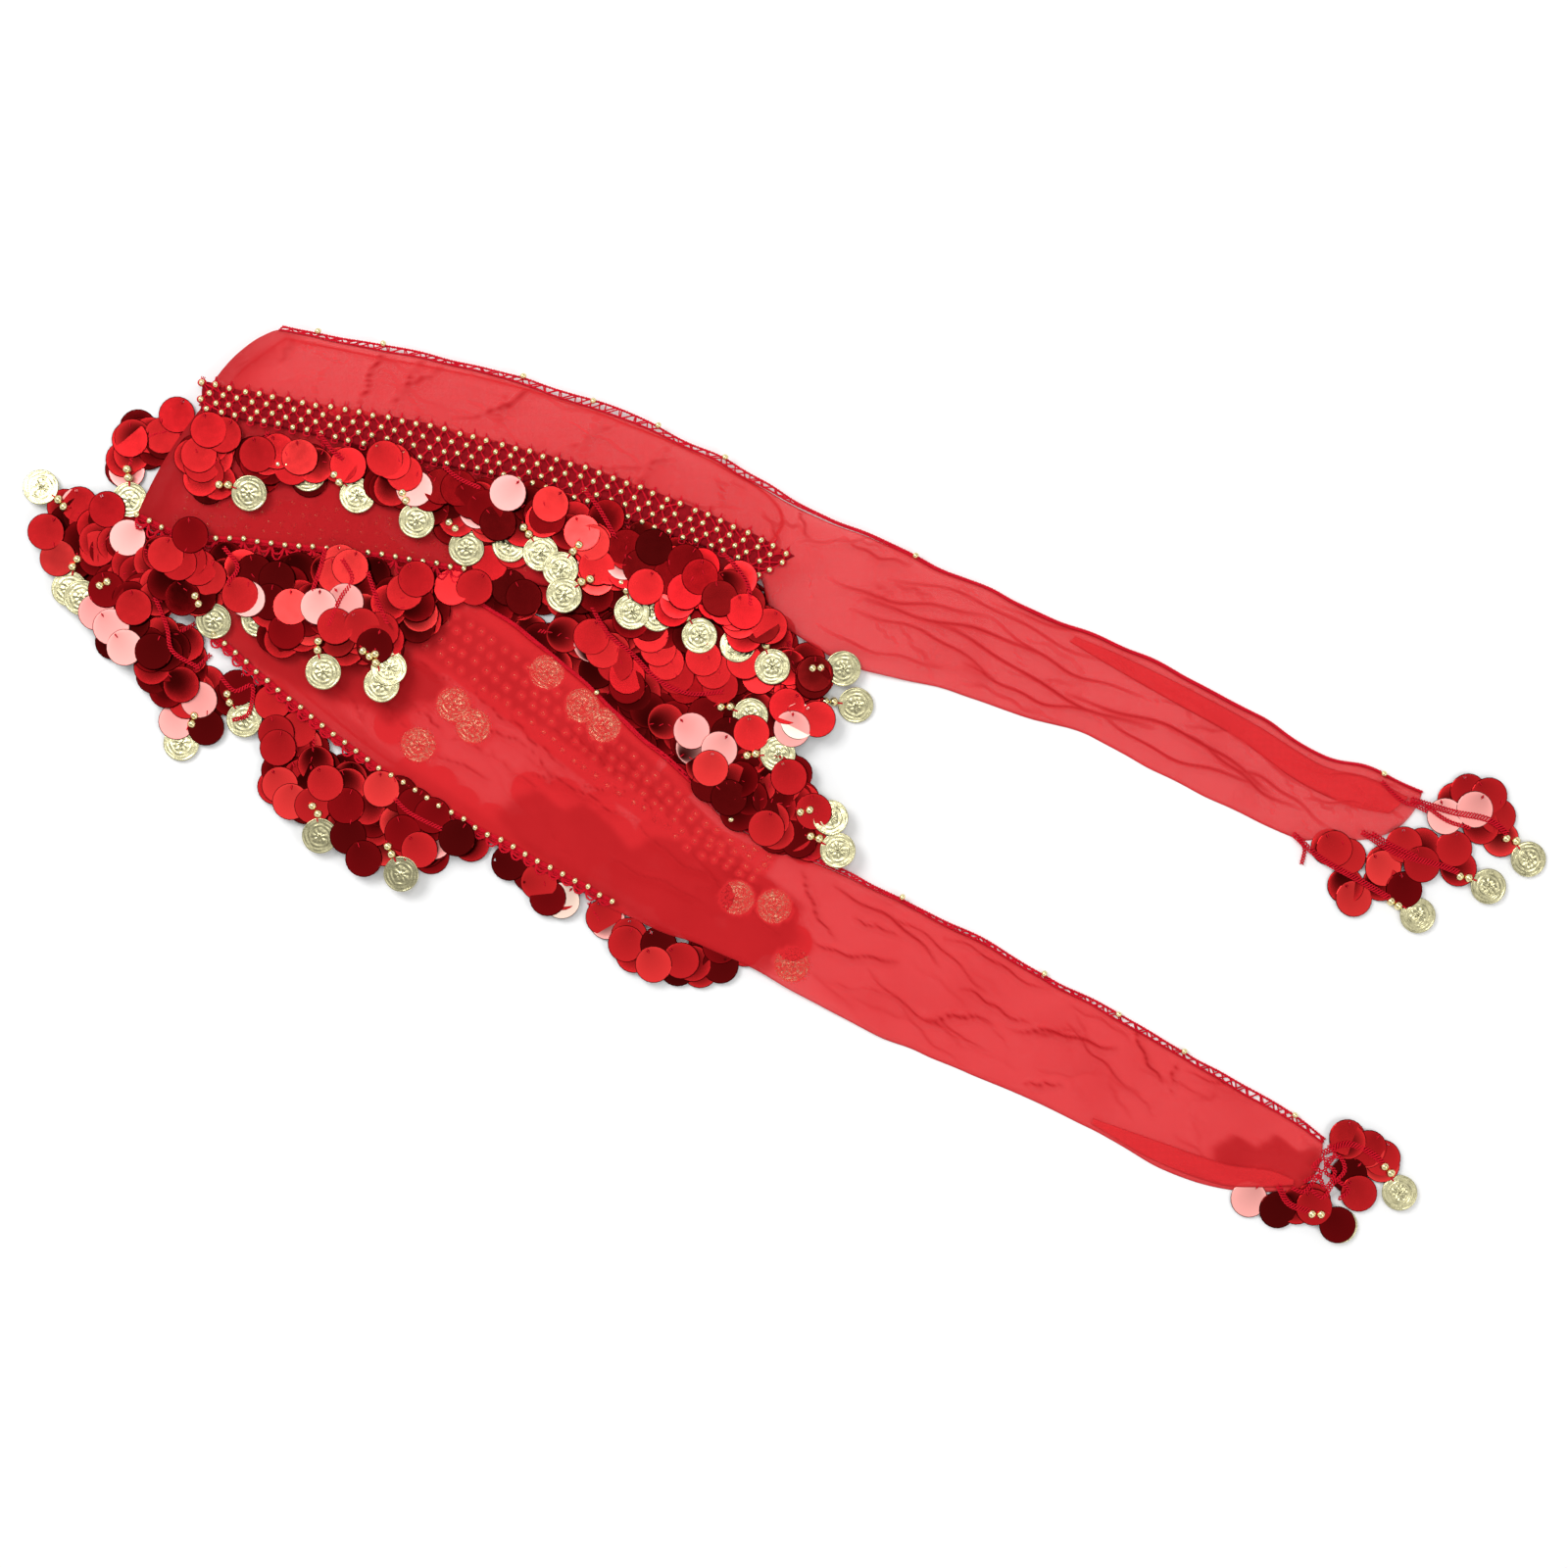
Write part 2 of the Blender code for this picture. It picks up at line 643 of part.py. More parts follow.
def hanging_tiers(band, middle, made):
    """Fringe that hangs from the band over the middle panel, and from that panel's own edge."""
    beside = STRIP_OUT + STRIP_WIDTH / 2
    for number, strands in enumerate(UPPER_FRINGE, 1):
        tip_drop = UPPER_TIP_DROP if number == len(UPPER_FRINGE) else 0.0
        fringe(f"fringe_upper_{number}", strands, made, hem_of(band), beside, UPPER_BASE, TIER_STRIP, tip_drop)
    for number, strands in enumerate(MIDDLE_FRINGE, 1):
        fringe(f"fringe_middle_{number}", strands, made, hem_of(middle), beside, MIDDLE_BASE, TIER_STRIP)


def lying_tiers(upper, middle, lower, made):
    """Fringe that comes out from under the lower half and the fold, and lies on the surface."""
    beside = STRIP_OUT + STRIP_WIDTH / 2
    height = LOWER_BASE - 2 * GAP
    for number, strands in enumerate(LOWER_FRINGE, 1):
        fringe(f"fringe_lower_{number}", strands, made, hem_of(lower), -STRIP_IN, GAP, height)
    for number, strands in enumerate(RIGHT_FRINGE, 1):
        from_lower = number < len(RIGHT_FRINGE)
        border, out = (edge_of(lower), -STRIP_IN) if from_lower else (hem_of(upper), beside)
        fringe(f"fringe_right_{number}", strands, made, border, out, GAP, height)
    for number, strands in enumerate(LEFT_FRINGE, 1):
        from_fold = number < len(LEFT_FRINGE)
        border = end_of(middle, last=False) if from_fold else hem_of(lower)
        fringe(f"fringe_left_{number}", strands, made, border, -STRIP_IN, GAP, height)


def tassels(upper, lower, made):
    beside = STRIP_OUT + STRIP_WIDTH / 2
    for name, strands in TASSELS.items():
        tail = upper if "upper" in name else lower
        border = hem_of(tail)[:-1] + list(reversed(end_of(tail)))
        fringe(name, strands, made, border, beside, GAP, TASSEL_STRIP, bare=TASSEL_BARE)


def main():
    clear_scene()
    chiffon = material("chiffon", (0.62, 0.03, 0.04), 0.55)
    crochet = material("crochet_thread", (0.42, 0.01, 0.04), 0.85)
    paillette = material("paillettes_and_coins", (0.55, 0.02, 0.03), 0.2, 0.6)

    trim = TRIM_WIDTH + TRIM_SCALLOP / 2 + GAP
    upper = sections(UPPER_ROWS, TAIL_GRID, UPPER_BULGE, trim)
    middle = sections(MIDDLE_ROWS, MIDDLE_GRID, MIDDLE_BULGE)
    lower = sections(LOWER_ROWS, TAIL_GRID, LOWER_BULGE, trim)
    band = sections(BAND_ROWS, BAND_GRID)
    upper_turn = sections(UPPER_TURN_ROWS, UPPER_TURN_GRID)
    lower_turn = sections(LOWER_TURN_ROWS, LOWER_TURN_GRID)
    hidden_layers(chiffon)
    wall("chiffon_upper", upper, chiffon, upper_under, creased(UPPER_CREASES))
    wall("chiffon_middle", middle, chiffon, level(MIDDLE_BASE), level(CLOTH))
    wall("chiffon_lower", lower, chiffon, lower_under, creased(LOWER_CREASES))
    wall("turned_band_upper", upper_turn, chiffon, level(TURN_BASE), level(CLOTH))
    wall("turned_band_lower", lower_turn, chiffon, level(TURN_BASE), level(CLOTH))
    wall("beaded_band", band, crochet, level(BAND_BASE), ribbed)
    crocheted_edges(upper, middle, lower, crochet)
    hanging_tiers(band, middle, paillette)
    lying_tiers(upper, middle, lower, paillette)
    tassels(upper, lower, paillette)


main()
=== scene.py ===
import math
import random

import bpy
import numpy as np
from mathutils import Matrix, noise


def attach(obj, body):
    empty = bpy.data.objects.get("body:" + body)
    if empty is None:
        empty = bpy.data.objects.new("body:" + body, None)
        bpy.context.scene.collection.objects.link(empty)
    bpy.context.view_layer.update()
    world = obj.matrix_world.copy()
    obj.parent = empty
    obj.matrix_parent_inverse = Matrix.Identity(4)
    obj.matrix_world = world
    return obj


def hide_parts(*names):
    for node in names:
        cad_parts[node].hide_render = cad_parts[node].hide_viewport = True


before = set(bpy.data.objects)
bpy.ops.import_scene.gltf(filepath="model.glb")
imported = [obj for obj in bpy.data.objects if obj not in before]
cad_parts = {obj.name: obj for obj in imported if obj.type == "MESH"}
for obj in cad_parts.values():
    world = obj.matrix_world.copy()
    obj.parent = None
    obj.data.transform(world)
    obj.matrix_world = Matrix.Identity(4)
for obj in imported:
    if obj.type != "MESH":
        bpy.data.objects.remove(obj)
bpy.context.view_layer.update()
mm = 0.001
pixel = 0.54              # millimetres of scarf to one pixel of the photograph
outlineMiddle = (0.0, -1.7)     # middle of the outline, which the frame has at its origin
photoMiddle = (801, 799)        # where the tables have their origin, in photo pixels
fullTurn = 6.28           # top of the random headings


# Shared helpers: meshes are gathered in millimetres and made in metres
def fromPhoto(across, down):
    return (across - photoMiddle[0]) * pixel, (photoMiddle[1] - down) * pixel


def toPhoto(x, y):
    return x / pixel + photoMiddle[0], photoMiddle[1] - y / pixel


def newBag():
    return {"verts": [], "faces": [], "marks": [], "count": 0, "fold": []}


def addShape(bag, verts, faces, mark=0, fold=None):
    verts = np.asarray(verts, float)
    start = bag["count"]
    bag["verts"].append(verts)
    bag["faces"] += [tuple(start + index for index in face) for face in faces]
    bag["marks"] += [mark] * len(faces)
    bag["fold"].append(np.zeros(len(verts)) if fold is None else fold)
    bag["count"] += len(verts)


def makePiece(name, bag, materials, nodes=(), flatFaces=False):
    verts = np.vstack(bag["verts"])
    verts[:, 0] -= outlineMiddle[0]
    verts[:, 1] -= outlineMiddle[1]
    mesh = bpy.data.meshes.new(name)
    mesh.from_pydata((verts * mm).tolist(), [], bag["faces"])
    for each in materials:
        mesh.materials.append(each)
    mesh.polygons.foreach_set("material_index", bag["marks"])
    mesh.polygons.foreach_set("use_smooth", [not flatFaces] * len(bag["faces"]))
    fold = mesh.attributes.new("fold", "FLOAT", "POINT")
    fold.data.foreach_set("value", np.concatenate(bag["fold"]))
    mesh.update()
    piece = bpy.data.objects.new(name, mesh)
    bpy.context.scene.collection.objects.link(piece)
    if nodes:
        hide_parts(*nodes)
    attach(piece, "root")
    return piece


def applyModifier(piece, kind, **values):
    added = piece.modifiers.new(kind.lower(), kind)
    for key, value in values.items():
        setattr(added, key, value)
    graph = bpy.context.evaluated_depsgraph_get()
    made = bpy.data.meshes.new_from_object(piece.evaluated_get(graph))
    piece.modifiers.clear()
    piece.data = made


def smoothStep(value):
    value = np.clip(value, 0.0, 1.0)
    return value * value * (3.0 - 2.0 * value)


def spline(table, place):      # Catmull-Rom reading of a table at places counted in rows
    table, place = np.asarray(table, float), np.atleast_1d(place)
    last = len(table) - 1
    index = np.clip(np.floor(place).astype(int), 0, last - 1)
    part = (place - index)[:, None]
    first, second = table[index], table[index + 1]
    before = np.where(index[:, None] > 0, table[np.maximum(index - 1, 0)], 2 * table[0] - table[1])
    after = np.where(index[:, None] + 2 <= last, table[np.minimum(index + 2, last)],
                     2 * table[last] - table[last - 1])
    return 0.5 * (2 * first + (second - before) * part
                  + (2 * before - 5 * first + 4 * second - after) * part ** 2
                  + (3 * first - before - 3 * second + after) * part ** 3)


def walkedAlong(line):          # distance walked along a line to each of its points
    return np.concatenate([[0.0], np.cumsum(np.linalg.norm(np.diff(line, axis=0), axis=1))])


def gridFaces(steps, across):   # faces of a grid of points that is kept row by row
    columns = across + 1
    return [(s * columns + a, s * columns + a + 1, (s + 1) * columns + a + 1, (s + 1) * columns + a)
            for s in range(steps) for a in range(across)]


def ringFaces(sides, pairs):    # faces between pairs of rings of points
    return [(low * sides + part, high * sides + part,
             high * sides + (part + 1) % sides, low * sides + (part + 1) % sides)
            for low, high in pairs for part in range(sides)]


def resample(points, spacing):  # evenly spaced points on a smooth line through the given ones
    fine = spline(points, np.linspace(0, len(points) - 1, 16 * (len(points) - 1) + 1))
    walked = walkedAlong(fine)
    steps = np.linspace(0, walked[-1], max(3, int(round(walked[-1] / spacing)) + 1))
    return np.stack([np.interp(steps, walked, fine[:, column]) for column in range(fine.shape[1])], axis=1)


def sideFrames(line):           # direction, side and upper vector at each point of a line
    way = np.gradient(line, axis=0)
    way /= np.maximum(np.linalg.norm(way, axis=1, keepdims=True), 1e-9)
    side = np.cross(way, (0.0, 0.0, 1.0))
    length = np.linalg.norm(side, axis=1, keepdims=True)
    side = np.where(length > 0.2, side / np.maximum(length, 1e-9), np.cross(way, (0.0, 1.0, 0.0)))
    side /= np.maximum(np.linalg.norm(side, axis=1, keepdims=True), 1e-9)
    return way, side, np.cross(side, way)


def addTube(bag, line, radius, sides=5, mark=0, closed=False):
    line = np.asarray(line, float)
    if closed:
        way = np.roll(line, -1, 0) - np.roll(line, 1, 0)
        way /= np.linalg.norm(way, axis=1, keepdims=True)
        side = np.cross(way, (0.0, 0.0, 1.0))
        side /= np.maximum(np.linalg.norm(side, axis=1, keepdims=True), 1e-9)
        upper = np.cross(side, way)
    else:
        way, side, upper = sideFrames(line)
    turns = 2 * math.pi * np.arange(sides) / sides
    radius = np.broadcast_to(radius, len(line))[:, None, None]
    around = (np.cos(turns)[None, :, None] * side[:, None, :]
              + np.sin(turns)[None, :, None] * upper[:, None, :])
    verts = (line[:, None, :] + radius * around).reshape(-1, 3)
    rings = len(line) if closed else len(line) - 1
    faces = ringFaces(sides, [(ring, (ring + 1) % len(line)) for ring in range(rings)])
    if not closed:
        faces.append(tuple(range(sides)))
        faces.append(tuple(reversed(range(rings * sides, rings * sides + sides))))
    addShape(bag, verts, faces, mark)


def addTwist(bag, line, chain, mark=0):   # a rope of threads wound round each other
    _, side, upper = sideFrames(line)
    walked = walkedAlong(line)
    for ply in range(chain["plies"]):
        turn = 2 * math.pi * (walked / chain["pitch"] + ply / chain["plies"])[:, None]
        wave = chain["reach"] * (np.cos(turn) * side + 0.7 * np.sin(turn) * upper)
        addTube(bag, line + wave, chain["thread"], 5, mark)


def turnMatrix(heading, tilt, tiltWay):   # heading in the plane, then a tilt about a level axis
    flat = np.array([[math.cos(heading), -math.sin(heading), 0],
                     [math.sin(heading), math.cos(heading), 0], [0, 0, 1]])
    axis = np.array([math.cos(tiltWay), math.sin(tiltWay), 0.0])
    cross = np.array([[0, 0, axis[1]], [0, 0, -axis[0]], [-axis[1], axis[0], 0]])
    lean = np.eye(3) + math.sin(tilt) * cross + (1 - math.cos(tilt)) * cross @ cross
    return lean @ flat


def roundBead(length, width, around, along, hole=0.0, dent=0.0, seed=0):
    rng = random.Random(seed)
    verts, faces = [], []
    for ring in range(along + 1):
        angle = math.pi * (0.08 + 0.84 * ring / along)
        for part in range(around):
            turn = 2 * math.pi * part / around
            reach = width / 2 * math.sin(angle) * (1 + dent * rng.uniform(-1, 1)) + hole
            verts.append((-length / 2 * math.cos(angle), reach * math.cos(turn), reach * math.sin(turn)))
    for ring in range(along):
        for part in range(around):
            after = (part + 1) % around
            low, high = ring * around, (ring + 1) * around
            faces.append((low + part, low + after, high + after, high + part))
    faces.append(tuple(reversed(range(around))))
    faces.append(tuple(range(along * around, (along + 1) * around)))
    return np.array(verts), faces


# Finishes
def newGroup(name, inputs, outputs):
    tree = bpy.data.node_groups.new(name, "ShaderNodeTree")
    for label, kind, value in inputs:
        tree.interface.new_socket(label, in_out="INPUT", socket_type=kind).default_value = value
    for label, kind in outputs:
        tree.interface.new_socket(label, in_out="OUTPUT", socket_type=kind)
    return tree, tree.nodes.new("NodeGroupInput"), tree.nodes.new("NodeGroupOutput")


def addNode(tree, kind, inputs=(), **values):
    node = tree.nodes.new(kind)
    for key, value in values.items():
        setattr(node, key, value)
    for key, value in dict(inputs).items():
        if hasattr(value, "is_output"):
            tree.links.new(value, node.inputs[key])
        else:
            node.inputs[key].default_value = value
    return node


def mixColour(tree, factor, first, second):
    node = addNode(tree, "ShaderNodeMix", {0: factor, 6: first, 7: second}, data_type="RGBA")
    return node.outputs[2]


def calculate(tree, operation, first, second, clamp=False):
    node = addNode(tree, "ShaderNodeMath", {0: first, 1: second}, operation=operation, use_clamp=clamp)
    return node.outputs[0]


def noiseOn(tree, place, scale, detail=2.0):
    values = {"Vector": place, "Scale": scale, "Detail": detail}
    return addNode(tree, "ShaderNodeTexNoise", values).outputs["Fac"]


def objectPlace(tree):
    return addNode(tree, "ShaderNodeTexCoord").outputs["Object"]


def makeSheerWeave():          # open weave: colour, cover and relief of a sheer cloth, deeper along its folds, where the cloth doubles and where crease shade is painted
    tree, given, result = newGroup("sheerWeave", [
        ("Colour", "NodeSocketColor", (1, 0, 0, 1)), ("Fold Colour", "NodeSocketColor", (0.5, 0, 0, 1)),
        ("Cover", "NodeSocketFloat", 0.5), ("Fold Cover", "NodeSocketFloat", 0.3),
        ("Strain", "NodeSocketFloat", 0.32), ("Threads", "NodeSocketFloat", 500.0),
        ("Sparkle", "NodeSocketFloat", 800.0),
    ], [("Colour", "NodeSocketColor"), ("Cover", "NodeSocketFloat"), ("Relief", "NodeSocketFloat")])
    place = objectPlace(tree)
    fold = addNode(tree, "ShaderNodeAttribute", attribute_name="fold").outputs["Fac"]
    cloudy = noiseOn(tree, place, 22.0, 4.0)
    threads = {"Vector": place, "Scale": given.outputs["Threads"]}
    warp = addNode(tree, "ShaderNodeTexWave", threads, bands_direction="X")
    weft = addNode(tree, "ShaderNodeTexWave", threads, bands_direction="Y")
    weave = calculate(tree, "MULTIPLY", warp.outputs["Fac"], weft.outputs["Fac"])
    clouds = calculate(tree, "MULTIPLY", calculate(tree, "SUBTRACT", cloudy, 0.5), 0.5)
    # deepened where folds double the cloth and where crease shade is painted, and by random clouds of tone
    deep = calculate(tree, "ADD", fold, clouds, True)
    colour = mixColour(tree, deep, given.outputs["Colour"], given.outputs["Fold Colour"])
    cover = calculate(tree, "MULTIPLY_ADD", deep, given.outputs["Fold Cover"])
    tree.links.new(given.outputs["Cover"], cover.node.inputs[2])
    glints = noiseOn(tree, place, given.outputs["Sparkle"], 3.0)
    glints = calculate(tree, "MULTIPLY", calculate(tree, "SUBTRACT", glints, 0.47), 10.0, True)
    strained = calculate(tree, "MINIMUM", fold, 0.0)      # below nought where a coin strains the cloth
    strained = calculate(tree, "MULTIPLY", strained, calculate(tree, "ADD", glints, 0.12))
    cover = calculate(tree, "ADD", cover, calculate(tree, "MULTIPLY", strained, given.outputs["Strain"]))
    woven = calculate(tree, "ADD", cover, calculate(tree, "MULTIPLY", weave, 0.08), True)
    tree.links.new(colour, result.inputs["Colour"])
    tree.links.new(woven, result.inputs["Cover"])
    tree.links.new(weave, result.inputs["Relief"])
    return tree


def makeTwistedFibre():        # yarn: streaks of light and deep fibre with fine relief
    tree, given, result = newGroup("twistedFibre", [
        ("Colour", "NodeSocketColor", (1, 0, 0, 1)), ("Deep Colour", "NodeSocketColor", (0.5, 0, 0, 1)),
        ("Fineness", "NodeSocketFloat", 900.0),
    ], [("Colour", "NodeSocketColor"), ("Relief", "NodeSocketFloat")])
    place = objectPlace(tree)
    fibre = noiseOn(tree, place, given.outputs["Fineness"], 3.0)
    patch = noiseOn(tree, place, 130.0)
    mask = calculate(tree, "MULTIPLY", calculate(tree, "ADD", fibre, patch), 0.55, True)
    colour = mixColour(tree, mask, given.outputs["Deep Colour"], given.outputs["Colour"])
    tree.links.new(colour, result.inputs["Colour"])
    tree.links.new(fibre, result.inputs["Relief"])
    return tree


def makeFoilFace():            # each foil disc its own tone, with soft dents and rubbed patches, and painted shade: a shadow towards its hole and a dark rim
    tree, given, result = newGroup("foilFace", [
        ("Colour", "NodeSocketColor", (1, 0, 0, 1)), ("Other Colour", "NodeSocketColor", (0.5, 0, 0, 1)),
        ("Shaded Colour", "NodeSocketColor", (0.03, 0.001, 0.001, 1)), ("Falloff", "NodeSocketFloat", 3.6),
        ("Roughness", "NodeSocketFloat", 0.2), ("Dents", "NodeSocketFloat", 60.0),
    ], [("Colour", "NodeSocketColor"), ("Roughness", "NodeSocketFloat"), ("Relief", "NodeSocketFloat")])
    place = objectPlace(tree)
    chance = addNode(tree, "ShaderNodeNewGeometry").outputs["Random Per Island"]
    rubbed = noiseOn(tree, place, 240.0, 4.0)
    dents = noiseOn(tree, place, given.outputs["Dents"])
    own = mixColour(tree, chance, given.outputs["Colour"], given.outputs["Other Colour"])
    shade = addNode(tree, "ShaderNodeAttribute", attribute_name="fold").outputs["Fac"]
    lit = calculate(tree, "POWER", calculate(tree, "SUBTRACT", 1.0, shade, True), given.outputs["Falloff"])
    tree.links.new(mixColour(tree, lit, given.outputs["Shaded Colour"], own), result.inputs["Colour"])
    rough = calculate(tree, "MULTIPLY_ADD", rubbed, 0.16)
    tree.links.new(given.outputs["Roughness"], rough.node.inputs[2])
    tree.links.new(rough, result.inputs["Roughness"])
    tree.links.new(dents, result.inputs["Relief"])
    return tree


def makeStampedMetal():        # pressed thin metal: hammered relief with dull hollows
    tree, given, result = newGroup("stampedMetal", [
        ("Colour", "NodeSocketColor", (1, 1, 0, 1)), ("Dull Colour", "NodeSocketColor", (0.3, 0.3, 0, 1)),
        ("Hammer", "NodeSocketFloat", 500.0),
    ], [("Colour", "NodeSocketColor"), ("Roughness", "NodeSocketFloat"), ("Relief", "NodeSocketFloat")])
    place = objectPlace(tree)
    hammer = noiseOn(tree, place, given.outputs["Hammer"])
    grime = noiseOn(tree, place, 1400.0, 5.0)
    mask = calculate(tree, "POWER", calculate(tree, "ADD", hammer, grime), 2.2, True)
    colour = mixColour(tree, mask, given.outputs["Dull Colour"], given.outputs["Colour"])
    tree.links.new(colour, result.inputs["Colour"])
    rough = calculate(tree, "MULTIPLY_ADD", grime, 0.25)
    rough.node.inputs[2].default_value = 0.12
    tree.links.new(rough, result.inputs["Roughness"])
    tree.links.new(hammer, result.inputs["Relief"])
    return tree


def newFinish(name, group, groupValues, shaderValues, relief=0.0, reliefDepth=0.0001):
    finish = bpy.data.materials.new(name)
    finish.use_nodes = True
    tree = finish.node_tree
    shader = tree.nodes["Principled BSDF"]
    for key, value in shaderValues.items():
        shader.inputs[key].default_value = value
    effect = tree.nodes.new("ShaderNodeGroup")
    effect.node_tree = group
    for key, value in groupValues.items():
        effect.inputs[key].default_value = value
    tree.links.new(effect.outputs["Colour"], shader.inputs["Base Color"])
    if "Cover" in effect.outputs:
        tree.links.new(effect.outputs["Cover"], shader.inputs["Alpha"])
    if "Roughness" in effect.outputs:
        tree.links.new(effect.outputs["Roughness"], shader.inputs["Roughness"])
    if relief:
        values = {"Strength": relief, "Distance": reliefDepth, "Height": effect.outputs["Relief"]}
        bump = addNode(tree, "ShaderNodeBump", values)
        tree.links.new(bump.outputs["Normal"], shader.inputs["Normal"])
    return finish


sheerWeave = makeSheerWeave()
twistedFibre = makeTwistedFibre()
foilFace = makeFoilFace()
stampedMetal = makeStampedMetal()

chiffonLooks = {    # colour, colour in folds (doubled cloth with painted crease shade), cover of one face and what folds add to it
    "chiffon": ((0.86, 0.03, 0.036, 1), (0.4, 0.003, 0.006, 1), 0.5, 0.45),
    "backChiffon": ((0.86, 0.024, 0.03, 1), (0.44, 0.003, 0.006, 1), 0.54, 0.3),
    "doubledChiffon": ((0.56, 0.008, 0.013, 1), (0.3, 0.002, 0.004, 1), 0.68, 0.3),
    "hiddenChiffon": ((0.7, 0.01, 0.015, 1), (0.5, 0.004, 0.008, 1), 0.03, 0.1),
    "innerChiffon": ((0.45, 0.005, 0.01, 1), (0.4, 0.003, 0.006, 1), 0.25, 0.3),
}
chiffonShader = {
    "Roughness": 0.62, "Specular IOR Level": 0.12, "Sheen Weight": 0.1, "Sheen Tint": (1, 0.35, 0.35, 1),
}
chiffon, backChiffon, doubledChiffon, hiddenChiffon, innerChiffon = [newFinish(name, sheerWeave, {
    "Colour": colour, "Fold Colour": fold, "Cover": cover, "Fold Cover": foldCover,
}, chiffonShader, 0.3) for name, (colour, fold, cover, foldCover) in chiffonLooks.items()]
crochetLooks = {    # lit and deep colour of the threads, and of the ground under them; the ground is a darker copy painted as shade in the holes of the net
    "crochetThread": ((0.8, 0.009, 0.03, 1), (0.34, 0.002, 0.008, 1)),
    "crochetShade": ((0.38, 0.004, 0.012, 1), (0.1, 0.001, 0.003, 1)),
}
crochetShader = {
    "Roughness": 0.75, "Specular IOR Level": 0.08, "Sheen Weight": 0.03, "Sheen Tint": (1, 0.2, 0.25, 1),
}
crochetThread, crochetShade = [
    newFinish(name, twistedFibre, {"Colour": light, "Deep Colour": deep}, crochetShader, 0.6)
    for name, (light, deep) in crochetLooks.items()]

foilLooks = {       # first and other colour of each tone of the one red foil, and its roughness; deep is a painted dark reflection, bright a painted brighter one, and the two palest are painted highlights
    "red": ((0.6, 0.02, 0.022, 1), (0.4, 0.009, 0.012, 1), 0.16),
    "bright": ((0.8, 0.045, 0.042, 1), (0.68, 0.03, 0.03, 1), 0.12),
    "deep": ((0.05, 0.002, 0.002, 1), (0.25, 0.004, 0.006, 1), 0.08),
    "pink": ((0.95, 0.42, 0.38, 1), (0.95, 0.32, 0.3, 1), 0.3),
    "creamHighlight": ((0.95, 0.78, 0.64, 1), (0.95, 0.7, 0.58, 1), 0.3),
}
foilNames = list(foilLooks)
foils = [newFinish(f"foil_{name}", foilFace, {"Colour": first, "Other Colour": other, "Roughness": rough},
                   {"Metallic": 1.0, "Specular Tint": (0.9, 0.25, 0.25, 1)}, 0.12, 0.0006)
         for name, (first, other, rough) in foilLooks.items()]
coinGold = newFinish("coinGold", stampedMetal, {
    "Colour": (0.56, 0.52, 0.31, 1), "Dull Colour": (0.3, 0.27, 0.12, 1),
}, {"Metallic": 1.0}, 0.3, 0.0004)
beadGold = newFinish("beadGold", stampedMetal, {
    "Colour": (0.85, 0.74, 0.4, 1), "Dull Colour": (0.45, 0.3, 0.1, 1), "Hammer": 900.0,
}, {"Metallic": 1.0}, 0.3, 0.0002)
print("stage: finishes")


# Chiffon: each stretch is a thin shell on its solid's form
clothShell = {"thick": 0.2, "floor": 0.25, "layers": 5.3}     # wall, lowest level, height of the layers


def insideCorners(x, y, corners):
    inside = False
    for (ax, ay), (bx, by) in zip(corners, corners[1:] + corners[:1]):
        if (ay > y) != (by > y) and x < (bx - ax) * (y - ay) / (by - ay) + ax:
            inside = not inside
    return inside


def drawnIn(cloth, places):         # how far a cloth's rim lies inside its waist outline, at places along it
    return np.interp(places, *zip(*cloth.get("drawnIn", [(0.0, 0.0)])))[:, None]


def waver(points, way, amount):     # uneven waves of a cloth's rim
    return way * np.array([[amount * noise.noise((x * 0.04, y * 0.04, 7.0))] for x, y in points])


def edgeAndHem(cloth, places):      # waist edge, hem and the way between them, at places along the rows
    line = spline(np.array(cloth["rows"], float)[:, :4], places)
    edge, hem = line[:, :2], line[:, 2:]
    way = (hem - edge) / np.linalg.norm(hem - edge, axis=1, keepdims=True)
    amount = cloth.get("waver", 0.0)
    return edge + waver(edge, way, amount), hem + waver(hem, way, amount), way


def clothPoints(cloth, steps, across, shareFrom=0.0, shareTo=1.0):
    rows = np.array(cloth["rows"], float)
    place = np.linspace(0, len(rows) - 1, steps + 1)
    edge, hem, way = edgeAndHem(cloth, place)
    edge = edge + way * drawnIn(cloth, place)
    index = np.clip(np.floor(place).astype(int), 0, len(rows) - 2)
    height = rows[index, 4] + (rows[index + 1, 4] - rows[index, 4]) * smoothStep(place - index)
    share = np.linspace(shareFrom, shareTo, across + 1)
    flat = edge[:, None, :] * (1 - share)[None, :, None] + hem[:, None, :] * share[None, :, None]
    reach = (len(rows) - 1) / 40
    for end, push in zip((0.0, len(rows) - 1.0), cloth.get("bulge", (0, 0))):
        near = np.clip(1 - np.abs(place - end) / reach, 0, 1)[:, None, None]
        sideways = np.stack([-way[:, 1], way[:, 0]], axis=1)[:, None, :]
        swell = np.sin(math.pi * np.clip(share, 0, 1) ** cloth.get("bulgeSkew", 1.0))[None, :, None]
        flat = flat + sideways * push * near * swell
    shares, heightsThere = np.broadcast_arrays(share[None, :], height[:, None])
    return flat, shares, heightsThere


